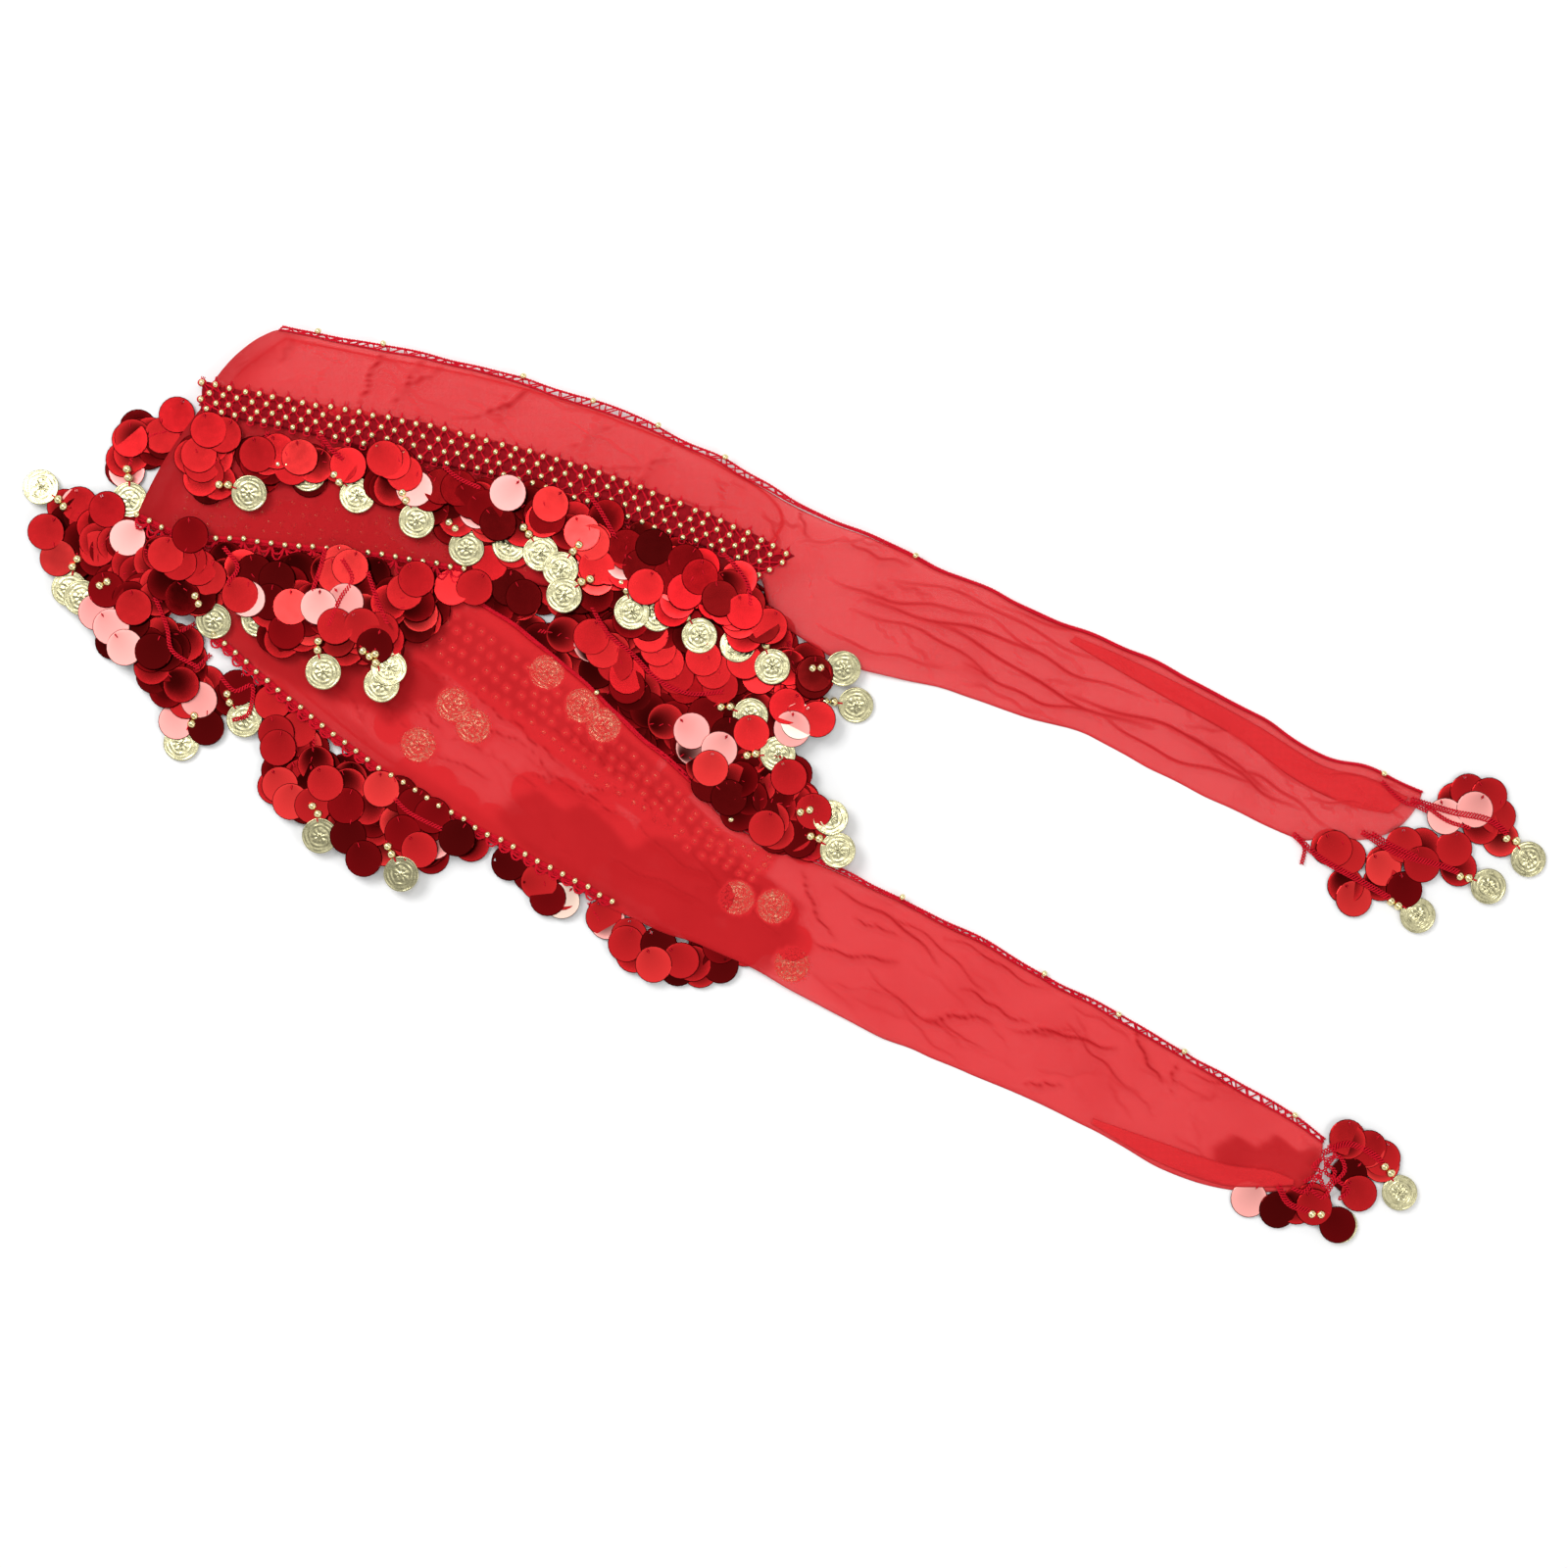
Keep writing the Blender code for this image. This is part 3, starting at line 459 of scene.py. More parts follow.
def creaseField(x, y, creases):     # height and doubling of the cloth at its creases, given in photo pixels, with a painted line of shade beside each crest
    height, fold = np.zeros(x.shape), np.zeros(x.shape)
    for number, (fromX, fromY, toX, toY, width, rise, depth) in enumerate(creases):
        startX, startY = fromPhoto(fromX, fromY)
        endX, endY = fromPhoto(toX, toY)
        length = math.hypot(endX - startX, endY - startY)
        wayX, wayY = (endX - startX) / length, (endY - startY) / length
        share = ((x - startX) * wayX + (y - startY) * wayY) / length
        aside = (x - startX) * -wayY + (y - startY) * wayX
        aside = aside + 0.04 * length * np.sin(share * 5.0 + number)
        aside = aside + 0.8 * np.sin(share * 17.0 + 2.0 * number)
        fade = np.sqrt(np.sin(math.pi * np.clip(share, 0, 1)))
        height += 1.5 * rise * np.exp(-2.5 * (aside / width) ** 2) * fade
        # a thin painted line of shade beside the top of each crease
        crest = np.exp(-((aside - 0.2 * width) / (0.16 * width)) ** 2) * fade
        fold = np.maximum(fold, 1.6 * depth * crest)
    return height, fold


def seededCreases(cloth, count, seed):   # small creases between the large ones, along and across the cloth
    rng = random.Random(seed)
    rows, found = cloth["rows"], []
    for _ in range(count):
        place = rng.uniform(0.5, len(rows) - 1.5)
        share, run = rng.uniform(0.08, 0.92), rng.uniform(0.25, 1.1)
        first = spline(np.array(rows, float)[:, :4], place)[0]
        last = spline(np.array(rows, float)[:, :4], min(place + run, len(rows) - 1))[0]
        slip = share + rng.uniform(-0.3, 0.3)
        a, b = first[:2] * (1 - share) + first[2:] * share, last[:2] * (1 - slip) + last[2:] * slip
        found.append((*toPhoto(*a), *toPhoto(*b),
                      rng.uniform(2.0, 5.0), rng.uniform(-0.35, 0.5), rng.uniform(0.05, 0.35)))
    return found


def tableLine(cloth, share, placeFrom, placeTo, spacing, inset=0.0):   # a line along the rows at one share
    places = np.linspace(placeFrom, placeTo, int((placeTo - placeFrom) * 12) + 2)
    edge, hem, way = edgeAndHem(cloth, places)
    return resample(edge * (1 - share) + hem * share + way * inset, spacing)


def ghostSpots(ghost):               # beads of the other half, in rows under the cloth
    rng = random.Random(6)
    return [spot + np.array([rng.uniform(-1.2, 1.2), rng.uniform(-1, 1)]) for share in ghost["shares"]
            for spot in tableLine(ghost["under"], share, ghost["from"], ghost["to"], 7.8)]


def makeCloth(name, cloth, node, finish):
    steps, across = cloth["grid"]
    flat, share, height = clothPoints(cloth, steps, across)
    x, y = flat[..., 0], flat[..., 1]
    creases = cloth["creases"] + seededCreases(cloth, cloth["smallCreases"], cloth["seed"])
    rise, fold = creaseField(x, y, creases)
    rough = np.array([[noise.noise((a * 0.045, b * 0.045, cloth["seed"]))
                       + 0.4 * noise.noise((a * 0.14, b * 0.14, 3.0)) for a, b in line] for line in flat])
    rim = np.minimum(np.minimum(share, 1 - share) * cloth["width"], cloth["rim"]) / cloth["rim"]
    z = cloth["under"](share, height) + cloth["lift"] * (0.35 + 0.65 * smoothStep(rim))
    z = z + (rise + cloth["crinkle"] * (0.5 + rough)) * smoothStep(rim)
    fold = np.maximum(fold, cloth["rimFold"] * (1 - smoothStep(rim * 2.2)))
    walked = np.linalg.norm(flat - flat[:1], axis=2)
    fold = np.maximum(fold, cloth.get("endFold", 0.0) * np.exp(-(walked / 15.0) ** 2))
    for depth, corners in cloth.get("tones", []):      # where hidden layers make the cloth deeper, and one painted shade over a dark gap under the middle panel's edge
        spots = [fromPhoto(*corner) for corner in corners]
        within = np.array([[insideCorners(*spot, spots) for spot in line] for line in flat], float)
        for _ in range(2):
            within[1:-1, 1:-1] = (within[:-2, 1:-1] + within[2:, 1:-1] + within[1:-1, :-2]
                                  + within[1:-1, 2:] + within[1:-1, 1:-1]) / 5
        fold = fold + depth * within * (1 - fold)
    for *spot, _ in insideScarf["coins"] if cloth is lowerCloth else []:
        away = np.linalg.norm(flat - np.array(fromPhoto(*spot)), axis=2)
        fold = fold - (fold + insideScarf["strain"]) * smoothStep((10.8 - away) / 2.4)
    for ghost in insideScarf["ghostRows"]:
        for spot in ghostSpots(ghost) if ghost["under"] is cloth else []:
            away = np.linalg.norm(flat - spot, axis=2)
            fold = fold - (fold + 0.5 * insideScarf["strain"]) * smoothStep((3.2 - away) / 2.2)
    verts = np.stack([x, y, np.maximum(z, clothShell["floor"])], axis=2).reshape(-1, 3)
    bag = newBag()
    addShape(bag, verts, gridFaces(steps, across), 0, np.clip(fold, -1, 1).reshape(-1))
    piece = makePiece(name, bag, [finish], [node])
    applyModifier(piece, "SOLIDIFY", thickness=clothShell["thick"] * mm, offset=0.0)
    return piece


upperCloth = {
    "rows": [       # waist edge, hem under the band, share of the layers' height
        (-276, 252, -322, 208, 1.0), (-249, 247, -298, 203, 1.0), (-206, 239, -259, 195, 1.0),
        (-157, 228, -206, 182, 1.0), (-109, 212, -158, 172, 1.0), (-60, 193, -113, 158, 1.0),
        (-19, 171, -70, 142, 1.0), (16, 151, -30, 128, 1.0), (43, 139, -14, 113, 1.0), (64, 129, -8, 96, 0.7),
        (86, 119, 11, 78, 0.5), (113, 107, 43, 63, 0.35), (145, 91, 83, 53, 0.08), (185, 76, 126, 39, 0.0),
        (222, 58, 167, 26, 0.0), (261, 37, 207, 5, 0.0), (297, 15, 242, -12, 0.0), (323, 9, 281, -30, 0.0),
        (352, -5, 294, -31, 0.0),
    ],
    "grid": (320, 64), "bulge": (-6.0, 13.0), "bulgeSkew": 0.8, "width": 62, "rim": 3.2, "rimFold": 0.75,
    "waver": 1.6, "endFold": 0.7, "drawnIn": [(0, 3.8), (1.5, 5.4), (7, 4.8), (9, 2.2), (11, 1.2), (18, 0.8)],
    "lift": 1.0, "crinkle": 0.45, "smallCreases": 60, "seed": 5,
    "under": lambda share, height: height * (clothShell["layers"] + 3.0 * smoothStep((share - 0.3) / 0.4)),
    "creases": [    # ends in photo pixels, width and rise in millimetres, depth of its shade
        (396, 352, 360, 420, 5, 1.1, 0.7), (434, 366, 393, 418, 5, 1.0, 0.6),
        (557, 392, 464, 431, 4.5, 0.9, 0.55), (452, 374, 410, 396, 4, 0.7, 0.4),
        (350, 412, 330, 436, 4, 0.6, 0.4), (520, 392, 505, 440, 4, 0.7, 0.45),
        (300, 345, 284, 372, 4, 0.6, 0.4), (640, 430, 560, 462, 4, 0.7, 0.4),
        (690, 470, 604, 476, 4, 0.6, 0.35), (250, 362, 300, 345, 6, 0.8, 0.3),
        (236, 380, 296, 350, 6, 0.8, 0.35), (333, 372, 318, 408, 4, 0.5, 0.25),
        (612, 420, 590, 470, 4, 0.6, 0.3), (688, 452, 640, 500, 4, 0.6, 0.35),
        (733, 488, 735, 515, 3, 0.7, 0.5), (776, 520, 798, 566, 4, 0.7, 0.45),
        (808, 512, 826, 552, 4, 0.8, 0.5), (812, 560, 900, 545, 4, 0.5, 0.3),
        (858, 552, 930, 580, 4, 0.8, 0.5), (842, 588, 1010, 640, 5, 0.9, 0.5),
        (880, 602, 1090, 690, 5, 1.0, 0.6), (866, 618, 1020, 690, 4, 0.8, 0.55),
        (905, 592, 1130, 668, 4, 0.7, 0.5), (930, 640, 1180, 742, 5, 1.0, 0.6),
        (1000, 634, 1168, 716, 4, 0.8, 0.55), (830, 636, 960, 690, 4, 0.7, 0.45),
        (1010, 606, 1200, 690, 4, 0.6, 0.4), (1090, 702, 1300, 806, 5, 0.9, 0.6),
        (1150, 690, 1340, 800, 5, 0.6, 0.35), (1190, 748, 1330, 826, 5, 0.8, 0.5),
        (979, 684, 1119, 730, 3.5, 0.8, 0.7), (1119, 730, 1288, 811, 3.5, 0.8, 0.7),
        (1300, 770, 1430, 812, 4, 0.7, 0.5), (1330, 812, 1436, 836, 4, 0.8, 0.5),
        (1240, 776, 1360, 842, 5, 0.7, 0.4),
    ],
}
middleCloth = {
    "rows": [
        (-319, 209, -358, 144, 1.0), (-298, 205, -333, 133, 1.0), (-271, 199, -300, 130, 1.0),
        (-238, 193, -265, 126, 1.0), (-206, 186, -227, 122, 1.0), (-173, 178, -190, 116, 1.0),
        (-130, 166, -146, 110, 1.0), (-87, 151, -100, 106, 1.0), (-50, 134, -55, 106, 1.0),
        (-22, 119, -21, 106, 1.0),
    ],
    "grid": (100, 36), "bulge": (-3.0, 0.0), "width": 62, "rim": 3.0, "rimFold": 0.6, "endFold": 0.9,
    "lift": 0.8, "crinkle": 0.3, "smallCreases": 18, "seed": 11,
    "under": lambda share, height: 6.8 + 0.0 * share,
    "creases": [
        (190, 470, 150, 530, 5, 0.8, 0.4), (214, 500, 330, 520, 5, 0.4, 0.3),
        (330, 500, 300, 548, 5, 0.4, 0.35), (380, 510, 372, 556, 4, 0.4, 0.3),
        (180, 520, 260, 500, 5, 0.4, 0.25),
    ],
}
lowerCloth = {
    "rows": [
        (-246, 167, -340, 126, 1.0), (-217, 137, -322, 86, 1.0), (-192, 117, -303, 68, 1.0),
        (-164, 98, -273, 42, 1.0), (-142, 83, -239, 15, 1.0), (-111, 57, -198, -12, 1.0),
        (-78, 25, -153, -38, 1.0), (-54, 5, -114, -59, 1.0), (-28, -21, -79, -77, 1.0),
        (15, -40, -22, -100, 0.85), (65, -63, 38, -133, 0.25), (108, -85, 77, -150, 0.0),
        (164, -116, 129, -172, 0.0), (201, -136, 167, -190, 0.0), (242, -161, 206, -212, 0.0),
        (282, -183, 242, -224, 0.0), (299, -195, 281, -226, 0.0),
    ],
    "grid": (320, 72), "bulge": (0.0, 5.0), "width": 75, "rim": 3.2, "rimFold": 0.75, "waver": 1.2,
    "drawnIn": [(0, 1.5), (7, 1.8), (9, 3.0), (12, 3.4), (16, 4.2)],
    "lift": 1.0, "crinkle": 0.45, "smallCreases": 70, "seed": 8,
    "tones": [
        (0.62, [(420, 600), (500, 640), (600, 715), (680, 790), (765, 880), (822, 925), (800, 945),
                (748, 902), (700, 848), (640, 802), (575, 757), (510, 716), (440, 674), (372, 645)]),
        (0.65, [(505, 835), (528, 812), (550, 806), (575, 826), (596, 818), (622, 840), (644, 868),
                (668, 852), (700, 856), (728, 872), (760, 885), (792, 920), (815, 945), (812, 975),
                (765, 1002), (690, 962), (610, 910), (540, 868)]),
        (0.6, [(1238, 1172), (1262, 1158), (1282, 1172), (1304, 1158), (1326, 1176), (1345, 1170),
               (1352, 1200), (1330, 1216), (1280, 1206), (1240, 1196)]),
        # painted shade: the dark gap between the discs under the middle panel's edge
        (0.75, [(225, 660), (250, 610), (300, 600), (380, 640), (452, 691), (470, 722), (430, 716),
                (400, 742), (372, 720), (340, 716), (300, 700)]),
        (0.4, [(250, 660), (300, 680), (400, 770), (500, 835), (620, 908), (760, 998), (760, 1020),
               (560, 915), (380, 810)]),
    ],
    "under": lambda share, height: height * clothShell["layers"],
    "creases": [
        (829, 962, 915, 988, 4, 1.0, 0.95), (869, 936, 915, 958, 3.2, 0.8, 0.8),
        (941, 1042, 1012, 1041, 4, 0.9, 0.88), (1035, 1054, 1141, 1068, 4, 1.0, 0.95),
        (978, 1011, 1052, 1045, 3.2, 0.8, 0.8), (1153, 1051, 1187, 1108, 4, 0.9, 0.88),
        (1202, 1080, 1193, 1117, 3.2, 0.8, 0.8), (1044, 1105, 1084, 1111, 3.2, 0.7, 0.72),
        (850, 900, 960, 985, 4, 0.9, 0.8), (900, 930, 1010, 1010, 3.2, 0.6, 0.56),
        (960, 960, 1075, 1010, 3.2, 0.7, 0.64), (812, 890, 850, 960, 4, 0.8, 0.8),
        (880, 990, 1000, 1075, 3.2, 0.6, 0.56), (1090, 1040, 1150, 1120, 3.2, 0.6, 0.56),
        (1210, 1090, 1300, 1135, 3.2, 0.6, 0.56), (300, 660, 380, 740, 4, 0.7, 0.64),
        (330, 640, 400, 700, 3.2, 0.6, 0.56), (400, 660, 470, 700, 3.2, 0.7, 0.64),
        (396, 730, 500, 800, 4, 0.7, 0.64), (520, 726, 574, 790, 3.2, 0.9, 0.88),
        (560, 740, 600, 770, 3.2, 0.8, 0.8), (600, 748, 690, 838, 3.2, 0.8, 0.8),
        (540, 790, 640, 830, 3.2, 0.8, 0.88), (470, 700, 530, 742, 3.2, 0.8, 0.72),
        (640, 840, 740, 905, 4, 0.7, 0.64), (700, 860, 790, 960, 4, 0.7, 0.64),
        (620, 870, 720, 930, 4, 0.6, 0.56), (478, 742, 540, 762, 3, 0.8, 0.75),
        (540, 762, 566, 800, 3, 0.8, 0.8), (566, 742, 640, 792, 3, 0.9, 0.85),
        (610, 742, 622, 776, 3, 0.7, 0.75), (500, 768, 548, 806, 3, 0.7, 0.7),
        (590, 800, 650, 812, 3, 0.7, 0.7), (420, 716, 452, 752, 3, 0.7, 0.7),
        (452, 752, 500, 770, 3, 0.7, 0.7), (392, 706, 404, 742, 3, 0.6, 0.6),
        (650, 806, 676, 842, 3, 0.7, 0.7),
    ],
}
insideScarf = {      # what lies between the two halves and shows through: spots in photo pixels and heights
    "coins": [(463, 719, 5.4), (483, 741, 5.4), (427, 760, 5.0), (558, 686, 3.4), (594, 720, 3.4),
              (616, 740, 3.6), (752, 916, 2.9), (790, 925, 2.5), (808, 984, 1.9)],
    "strain": 0.8,
    "discs": [(540, 806), (556, 826), (575, 812), (592, 836), (566, 850), (610, 826), (628, 850),
              (604, 866), (586, 884), (648, 866), (668, 850), (640, 890), (664, 905), (690, 880),
              (706, 900), (686, 925), (724, 886), (730, 915), (712, 944), (748, 900), (760, 940),
              (776, 915), (784, 956), (796, 934), (760, 968), (810, 962), (735, 965), (400, 740),
              (420, 790), (448, 800), (470, 820), (500, 838), (530, 850), (380, 700), (350, 690),
              (410, 700), (440, 670), (470, 650), (320, 676), (520, 880), (550, 900)],
    "bands": [((1.6, 8.7), (0.1, 0.4), 2.6)],      # rows, shares and height
    "bandGrid": (120, 10),
    "ghostRows": [
        {"under": lowerCloth, "shares": [0.13, 0.2, 0.27, 0.34], "from": 1.8, "to": 8.6, "height": 2.9},
        {"under": middleCloth, "shares": [0.62, 0.7, 0.78, 0.86], "from": 0.8, "to": 6.2, "height": 5.6},
    ],
}
turnedUpper = {
    "rows": [
        (160, 81, 157, 78, 0.0), (184, 71, 177, 66, 0.0), (221, 53, 210, 47, 0.0), (260, 32, 249, 25, 0.0),
        (296, 10, 281, 2, 0.0), (322, 3, 310, -12, 0.0), (344, -8, 333, -17, 0.0),
    ],
    "grid": (130, 10), "width": 14, "rim": 1.5, "rimFold": 0.5, "lift": 0.6, "crinkle": 0.2,
    "smallCreases": 8, "seed": 3, "under": lambda share, height: 1.6 + 0.0 * share, "creases": [],
}
turnedLower = {
    "rows": [
        (170, -185, 169, -188, 0.0), (207, -198, 203, -208, 0.0), (243, -210, 238, -221, 0.0),
        (266, -213, 262, -223, 0.0), (281, -219, 280, -222, 0.0),
    ],
    "grid": (90, 10), "width": 11, "rim": 1.5, "rimFold": 0.5, "lift": 0.6, "crinkle": 0.2,
    "smallCreases": 6, "seed": 4, "under": lambda share, height: 1.6 + 0.0 * share, "creases": [],
}
makeCloth("chiffonLower", lowerCloth, "chiffon_lower", backChiffon)
makeCloth("chiffonMiddle", middleCloth, "chiffon_middle", doubledChiffon)
makeCloth("chiffonUpper", upperCloth, "chiffon_upper", chiffon)
makeCloth("turnedBandUpper", turnedUpper, "turned_band_upper", chiffon)
makeCloth("turnedBandLower", turnedLower, "turned_band_lower", chiffon)


# The pile of layers between the two halves, rounded and layered at its edge
hiddenPile = {
    "outline": [
        (-276, 247), (-221, 236), (-166, 225), (-109, 208), (-55, 186), (-11, 162), (0, 142), (-20, 122),
        (-55, 117), (-100, 116), (-142, 118), (-158, 100), (-149, 74), (-119, 47), (-88, 14), (-64, -8),
        (-42, -32), (-44, -52), (-64, -70), (-84, -65), (-119, -46), (-158, -26), (-203, 0), (-241, 27),
        (-272, 53), (-300, 80), (-315, 93), (-327, 122), (-343, 146), (-330, 172), (-311, 206), (-312, 215),
        (-298, 231),
    ],
    "layers": 4, "steps": 3, "height": 5.0, "roundness": 1.1, "spacing": 2.5,
    "flatCut": (0.19, 0.37),     # in metres
}


def makeHiddenPile(pile):
    line = resample(pile["outline"] + pile["outline"][:1], pile["spacing"])[:-1]
    way = np.roll(line, -1, 0) - np.roll(line, 1, 0)
    way /= np.linalg.norm(way, axis=1, keepdims=True)
    out = np.stack([-way[:, 1], way[:, 0]], axis=1)
    rings, levels = [], pile["layers"] * pile["steps"]
    for level in range(levels + 1):
        inLayer = (level % pile["steps"]) / pile["steps"]
        layer = min(level // pile["steps"], pile["layers"] - 1)
        wander = np.array([noise.noise((x * 0.03, y * 0.03, layer * 2.0)) for x, y in line])
        inset = 0.6 + 0.35 * layer + 0.9 * wander + pile["roundness"] * (1 - math.sin(math.pi * inLayer))
        ring = line - out * inset[:, None]
        height = 0.05 + (pile["height"] - 0.1) * level / levels
        rings.append(np.column_stack([ring, np.full(len(line), height)]))
    count = len(line)
    faces = [(r * count + i, r * count + (i + 1) % count,
              (r + 1) * count + (i + 1) % count, (r + 1) * count + i)
             for r in range(levels) for i in range(count)]
    faces += [tuple(reversed(range(count))), tuple(range(levels * count, (levels + 1) * count))]
    bag = newBag()
    addShape(bag, np.vstack(rings), faces, 0, np.full(count * (levels + 1), 0.1))
    piece = makePiece("hiddenLayers", bag, [hiddenChiffon], ["hidden_layers"])


makeHiddenPile(hiddenPile)


# Crocheted band, edges and trims, with their beads
twists = {          # plies, pitch, reach and thickness of the crocheted threads
    "net": {"plies": 2, "pitch": 2.4, "reach": 0.42, "thread": 0.36},
    "edge": {"plies": 3, "pitch": 3.4, "reach": 0.75, "thread": 0.5},
    "rim": {"plies": 2, "pitch": 2.6, "reach": 0.7, "thread": 0.42},
    "scallop": {"plies": 2, "pitch": 2.2, "reach": 0.45, "thread": 0.4},
    "hem": {"plies": 2, "pitch": 2.4, "reach": 0.4, "thread": 0.36},
    "outer": {"plies": 2, "pitch": 2.8, "reach": 0.45, "thread": 0.42},
    "chain": {"plies": 2, "pitch": 3.4, "reach": 0.95, "thread": 0.45},
    "tassel": {"plies": 3, "pitch": 4.8, "reach": 1.5, "thread": 0.42},
}
seedBead = {"size": 3.5, "length": 3.2, "around": 10, "along": 6, "hole": 0.1}
seedShape = roundBead(seedBead["length"], seedBead["size"], seedBead["around"], seedBead["along"],
                      seedBead["hole"])


def addBead(bag, shape, spot, heading, tilt=0.0, mark=0):
    turn = turnMatrix(heading, tilt, heading + math.pi / 2)
    addShape(bag, shape[0] @ turn.T + np.asarray(spot), shape[1], mark)


def outward(line):
    way = np.gradient(line, axis=0)
    way /= np.linalg.norm(way, axis=1, keepdims=True)
    return np.stack([way[:, 1], -way[:, 0]], axis=1)


beadBand = {
    "rows": [
        (-320, 220, -321, 206, 1.0), (-296, 215, -298, 201, 1.0), (-254, 207, -259, 193, 1.0),
        (-200, 197, -206, 180, 1.0), (-152, 185, -158, 170, 1.0), (-104, 171, -113, 156, 1.0),
        (-60, 154, -70, 140, 1.0), (-22, 138, -30, 126, 1.0), (4, 124, -14, 114, 1.0),
    ],
    "beadRows": 4, "spacing": 8.0, "base": 9.9, "thread": 0.48, "tuft": 4.6, "cloth": (220, 18),
}


def makeBand(band):
    rng = random.Random(9)
    last = len(band["rows"]) - 1
    flat, share, _ = clothPoints(band, *band["cloth"], -0.08, 1.1)
    z = band["base"] + 0.5 + 0.28 * np.cos(2 * math.pi * (band["beadRows"] - 1) * share)
    z = z + 0.2 * np.sin(flat[..., 0] * 1.6) * np.sin(flat[..., 1] * 1.9)
    z = z - 0.9 * smoothStep(np.abs(share - 0.51) * 4 - 1.2)
    bag = newBag()
    addShape(bag, np.dstack([flat, z]).reshape(-1, 3), gridFaces(*band["cloth"]))
    # the ground is the band's crochet base, dark as painted shade in the holes between the threads
    ground = makePiece("crochetGround", bag, [crochetShade], ["beaded_band"])
    applyModifier(ground, "SOLIDIFY", thickness=0.6 * mm, offset=-1.0)
    threads, beads, lines = newBag(), newBag(), []
    for row in range(band["beadRows"]):
        line = tableLine(band, row / (band["beadRows"] - 1), 0.0, last, band["spacing"] / 2)
        line = line[row % 2::2]
        line = line + np.array([[rng.uniform(-0.6, 0.6), rng.uniform(-0.5, 0.5)] for _ in line])
        lines.append(line)
        out = outward(line)
        for index, (spot, side) in enumerate(zip(line, out)):
            heading = math.atan2(side[0], -side[1]) + rng.uniform(-0.4, 0.4)
            height = band["base"] + 1.75 + rng.uniform(-0.15, 0.15)
            addBead(beads, seedShape, (*spot, height), heading)
            turns = np.linspace(0, 2 * math.pi, 13)[:-1]
            ring = np.column_stack([spot[0] + 2.1 * np.cos(turns), spot[1] + 1.8 * np.sin(turns),
                                    band["base"] + 0.85 + 0.35 * np.cos(2 * turns + index)])
            addTube(threads, ring, band["thread"], 5, 0, True)
    for row, (upperLine, lowerLine) in enumerate(zip(lines, lines[1:])):
        for spot in upperLine:
            order = np.argsort(np.linalg.norm(lowerLine - spot, axis=1))[:2]
            for near in order:
                middle = (spot + lowerLine[near]) / 2
                middle = middle + np.array([rng.uniform(-0.5, 0.5), rng.uniform(-0.5, 0.5)])
                path = resample([(*spot, band["base"] + 1.0), (*middle, band["base"] + 1.35),
                                 (*lowerLine[near], band["base"] + 1.0)], 1.0)
                addTwist(threads, path, twists["net"])
    for line, side in ((lines[0], -1), (lines[-1], 1)):
        for spot, out in zip(line, outward(line) * side):
            along = np.array([-out[1], out[0]])
            if side > 0:
                loop = [spot, spot + out * 2.6 - along * 1.8, spot + out * 3.6,
                        spot + out * 2.6 + along * 1.8, spot]
                path = resample([(*p, band["base"] + 1.2) for p in loop], 0.9)
                addTube(threads, path, 0.45, 5)
                continue
            for _ in range(3):
                lean = rng.uniform(-1.2, 1.2)
                tip = spot + out * band["tuft"] * rng.uniform(0.6, 1.05) + along * lean
                bend = (spot + tip) / 2 + along * rng.uniform(-0.7, 0.7)
                path = resample([(*spot, band["base"] + 1.1), (*bend, band["base"] + 1.3),
                                 (*tip, band["base"] + 0.9)], 0.8)
                addTube(threads, path, np.linspace(0.5, 0.22, len(path)), 4)
    makePiece("bandThreads", threads, [crochetThread], ["beaded_band"])
    makePiece("bandBeads", beads, [beadGold], ["beaded_band"])


beadedEdges = {     # crocheted edges with one row of beads: their cloth, rows, height and depth of scallops
    "beaded_edge_middle": {
        "cloth": middleCloth, "from": 0.0, "to": 5.3, "base": 8.2, "spacing": 7.6,
        "hiddenFrom": 0.55, "hiddenTo": 1.05, "scallops": (5.0, 8.0),
    },
    "beaded_edge_lower": {
        "cloth": lowerCloth, "from": 1.25, "to": 7.5, "base": 6.8, "spacing": 7.7,
        "hiddenFrom": 9, "hiddenTo": 9, "scallops": (3.4, 5.2),
    },
}


def makeBeadedEdge(node, edge):
    rng = random.Random(len(node))
    threads, beads = newBag(), newBag()
    line = tableLine(edge["cloth"], 1.0, edge["from"], edge["to"], edge["spacing"], -4.2)
    rim = tableLine(edge["cloth"], 1.0, edge["from"], edge["to"], edge["spacing"])
    out = outward(line) * np.sign(np.dot(outward(line)[3], rim[3] - line[3]))
    top = edge["base"] + 1.0
    addTwist(threads, resample([(*p, top + 0.1) for p in line], 0.7), twists["edge"])
    addTwist(threads, resample([(*(p + o * 1.6), top - 0.2) for p, o in zip(line, out)], 0.8), twists["rim"])
    for index, (spot, side) in enumerate(zip(line, out)):
        along = np.array([-side[1], side[0]])
        heading = math.atan2(along[1], along[0]) + rng.uniform(-0.3, 0.3)
        share = index / len(line) * (edge["to"] - edge["from"]) + edge["from"]
        if not edge["hiddenFrom"] < share < edge["hiddenTo"]:
            addBead(beads, seedShape, (*(spot + rng.uniform(-0.5, 0.5) * side), top + 1.5), heading)
        if index + 1 < len(line):
            after, reach = line[index + 1], rng.uniform(*edge["scallops"])
            for deep in (1.0, 0.66):
                loop = [spot + side * 1.2, (spot * 0.75 + after * 0.25) + side * reach * deep,
                        (spot * 0.35 + after * 0.65) + side * (reach + 0.4) * deep, after + side * 1.2]
                path = resample([(*p, top - 0.3 + rng.uniform(-0.2, 0.2)) for p in loop], 0.8)
                addTwist(threads, path, twists["scallop"])
    name = "edge" + node.split("_")[-1].capitalize()
    makePiece(f"{name}Threads", threads, [crochetThread], [node])
    makePiece(f"{name}Beads", beads, [beadGold], [node])


